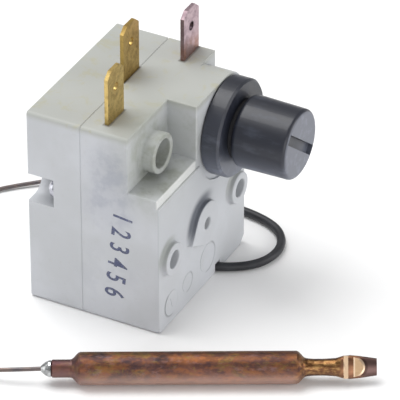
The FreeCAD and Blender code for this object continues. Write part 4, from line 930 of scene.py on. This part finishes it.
def stamped_figures(figures):
    """Each figure stands on its side, and the row leans a little."""
    pieces = []
    step_x = (FIGURE_END[0] - FIGURE_TOP[0]) / (len(figures) - 1)
    step_z = (FIGURE_END[1] - FIGURE_TOP[1]) / (len(figures) - 1)
    lean = math.atan2(step_x, -step_z)
    turn = Matrix.Rotation(math.radians(90), 4, "X") @ Matrix.Rotation(math.radians(-90) + lean, 4, "Z")
    for index, figure in enumerate(figures):
        nothing_selected()
        bpy.ops.object.text_add(location=(0, 0, 0))
        letter = bpy.context.object
        letter.data.body = figure
        letter.data.size = FIGURE_HEIGHT * MM * TYPE_SIZE
        letter.data.align_x = "CENTER"
        letter.data.align_y = "CENTER"
        letter.data.offset = FIGURE_BOLD
        letter.data.extrude = PRINT_PROUD * MM / 2
        bpy.ops.object.convert(target="MESH")
        letter = bpy.context.object
        letter.scale = (FIGURE_NARROW, 1.0, 1.0)
        settle(letter)
        x = FIGURE_TOP[0] + step_x * index
        z = FIGURE_TOP[1] + step_z * index
        letter.matrix_world = Matrix.Translation(at(x, -PRINT_PROUD / 2, z)) @ turn
        settle(letter)
        pieces.append(letter)
    nothing_selected()
    for piece in pieces:
        piece.select_set(True)
    bpy.context.view_layer.objects.active = pieces[0]
    bpy.ops.object.join()
    row = bpy.context.object
    row.name = "stamped_figures"
    dress(row, print_ink())
    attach(row, "housing")


stamped_figures("123456")


# Moulded marks on the front: a low rim with a rounded edge, and a small bar in the near one.
RIM_SIDES = 64
RIM_WIDTH = 0.42
RIM_PROUD = 0.1
# The pieces reach this far into the face, so that they stand on it without a gap.
RIM_ROOT = 0.3
RIM_DISH = 0.14
RIM_ROUNDING = 0.045
BAR_DEPTH = 0.4
BAR_WIDTH = 0.42
BAR_LENGTH = 2.3
BAR_NARROWS_TO = 0.35
BAR_TURN = math.radians(20)
BAR_ROOT = 0.1
BAR_ROUNDING = 0.06


def moulded_rim(name, y, z, radius):
    """A disc whose front face is set in, so that a rim is left, and the rim's edges are rounded."""
    nothing_selected()
    bpy.ops.mesh.primitive_cylinder_add(
        vertices=RIM_SIDES,
        radius=radius * MM,
        depth=(RIM_PROUD + RIM_ROOT) * MM,
        location=at(FACE + (RIM_PROUD - RIM_ROOT) / 2, y, z),
        rotation=(0, math.radians(90), 0),
    )
    rim = bpy.context.object
    rim.name = name
    settle(rim)
    pick_faces(rim, lambda face: face.normal.x > FACING)
    bpy.ops.mesh.inset(thickness=RIM_WIDTH * MM)
    bpy.ops.transform.translate(value=(-RIM_DISH * MM, 0, 0))
    bpy.ops.object.mode_set(mode="OBJECT")
    round_edges(rim, RIM_ROUNDING)
    finish_piece(rim, HOUSING)


def moulded_bar(name, y, z):
    """A small raised bar that narrows to one end."""
    nothing_selected()
    bpy.ops.mesh.primitive_cube_add(size=1, location=(0, 0, 0))
    bar = bpy.context.object
    bar.name = name
    bar.scale = (BAR_DEPTH * MM, BAR_WIDTH * MM, BAR_LENGTH * MM)
    settle(bar)
    pick_faces(bar, lambda face: face.normal.z > FACING)
    bpy.ops.transform.resize(value=(1, BAR_NARROWS_TO, 1))
    bpy.ops.object.mode_set(mode="OBJECT")
    bar.rotation_euler = (BAR_TURN, 0, 0)
    bar.location = at(FACE - BAR_ROOT, y, z)
    settle(bar)
    round_edges(bar, BAR_ROUNDING)
    finish_piece(bar, HOUSING)


for name, (y, z, radius) in zip(("mark_near", "mark_middle", "mark_far"), MARKS):
    moulded_rim(name, y, z, radius)
moulded_bar("mark_bar", MARKS[0][0], MARKS[0][1])


# The two springs are drawn as copies of their wire.
# Points of the wire's mesh that are nearer than this are one point.
SAME_POINT = 0.0005


def pressed_spring(node):
    """A copy of the spring's wire, with its doubled points merged, in place of the part."""
    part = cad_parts[node]
    spring = bpy.data.objects.new(f"{node}_wire", part.data.copy())
    bpy.context.collection.objects.link(spring)
    spring.matrix_world = part.matrix_world.copy()
    settle(spring)
    bpy.ops.object.mode_set(mode="EDIT")
    bpy.ops.mesh.select_all(action="SELECT")
    bpy.ops.mesh.remove_doubles(threshold=SAME_POINT * MM)
    bpy.ops.object.mode_set(mode="OBJECT")
    finish_piece(spring, STEEL)
    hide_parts(node)
    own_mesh(spring)


pressed_spring("reset_spring")
pressed_spring("calibration_spring")


# The table lies a hair under the body, so that the two faces don't mix.
TABLE_SIZE = 6
TABLE_DROP = 0.05 * MM
PAPER_WHITE = (0.9, 0.9, 0.9, 1)
PAPER_ROUGHNESS = 0.9
bpy.ops.mesh.primitive_plane_add(size=TABLE_SIZE, location=(0, 0, -TABLE_DROP))
table = bpy.context.object
table.name = "table"
paper = bpy.data.materials.new("paper")
paper.use_nodes = True
paper_shader = paper.node_tree.nodes["Principled BSDF"]
paper_shader.inputs["Base Color"].default_value = PAPER_WHITE
paper_shader.inputs["Roughness"].default_value = PAPER_ROUGHNESS
table.data.materials.append(paper)


def soft_light(name, place, size, power, aim_height):
    """A square light that faces a point over the middle of the body."""
    bpy.ops.object.light_add(type="AREA", location=place)
    lamp = bpy.context.object
    lamp.name = name
    lamp.data.shape = "SQUARE"
    lamp.data.size = size
    lamp.data.energy = power
    aim = Vector((0, 0, aim_height)) - Vector(place)
    lamp.rotation_euler = aim.to_track_quat("-Z", "Y").to_euler()


# Each light's name, place, side, power and the height that it faces.
LIGHTS = (
    ("light_top", (-0.34, 0.04, 0.95), 0.75, 9.0, 0.03),
    ("light_front", (0.85, -0.85, 0.36), 0.7, 4.6, 0.015),
    ("light_left", (-0.95, -0.62, 0.3), 0.7, 2.6, 0.015),
    ("light_right", (1.05, 0.35, 0.4), 0.8, 5.4, 0.02),
)
for name, place, size, power, aim_height in LIGHTS:
    soft_light(name, place, size, power, aim_height)
ROOM_WHITE = (1, 1, 1, 1)
ROOM_LIGHT = 0.36
world = bpy.data.worlds.new("studio")
bpy.context.scene.world = world
world.use_nodes = True
room = world.node_tree.nodes["Background"]
room.inputs["Color"].default_value = ROOM_WHITE
room.inputs["Strength"].default_value = ROOM_LIGHT
bpy.context.scene.view_settings.view_transform = "Standard"
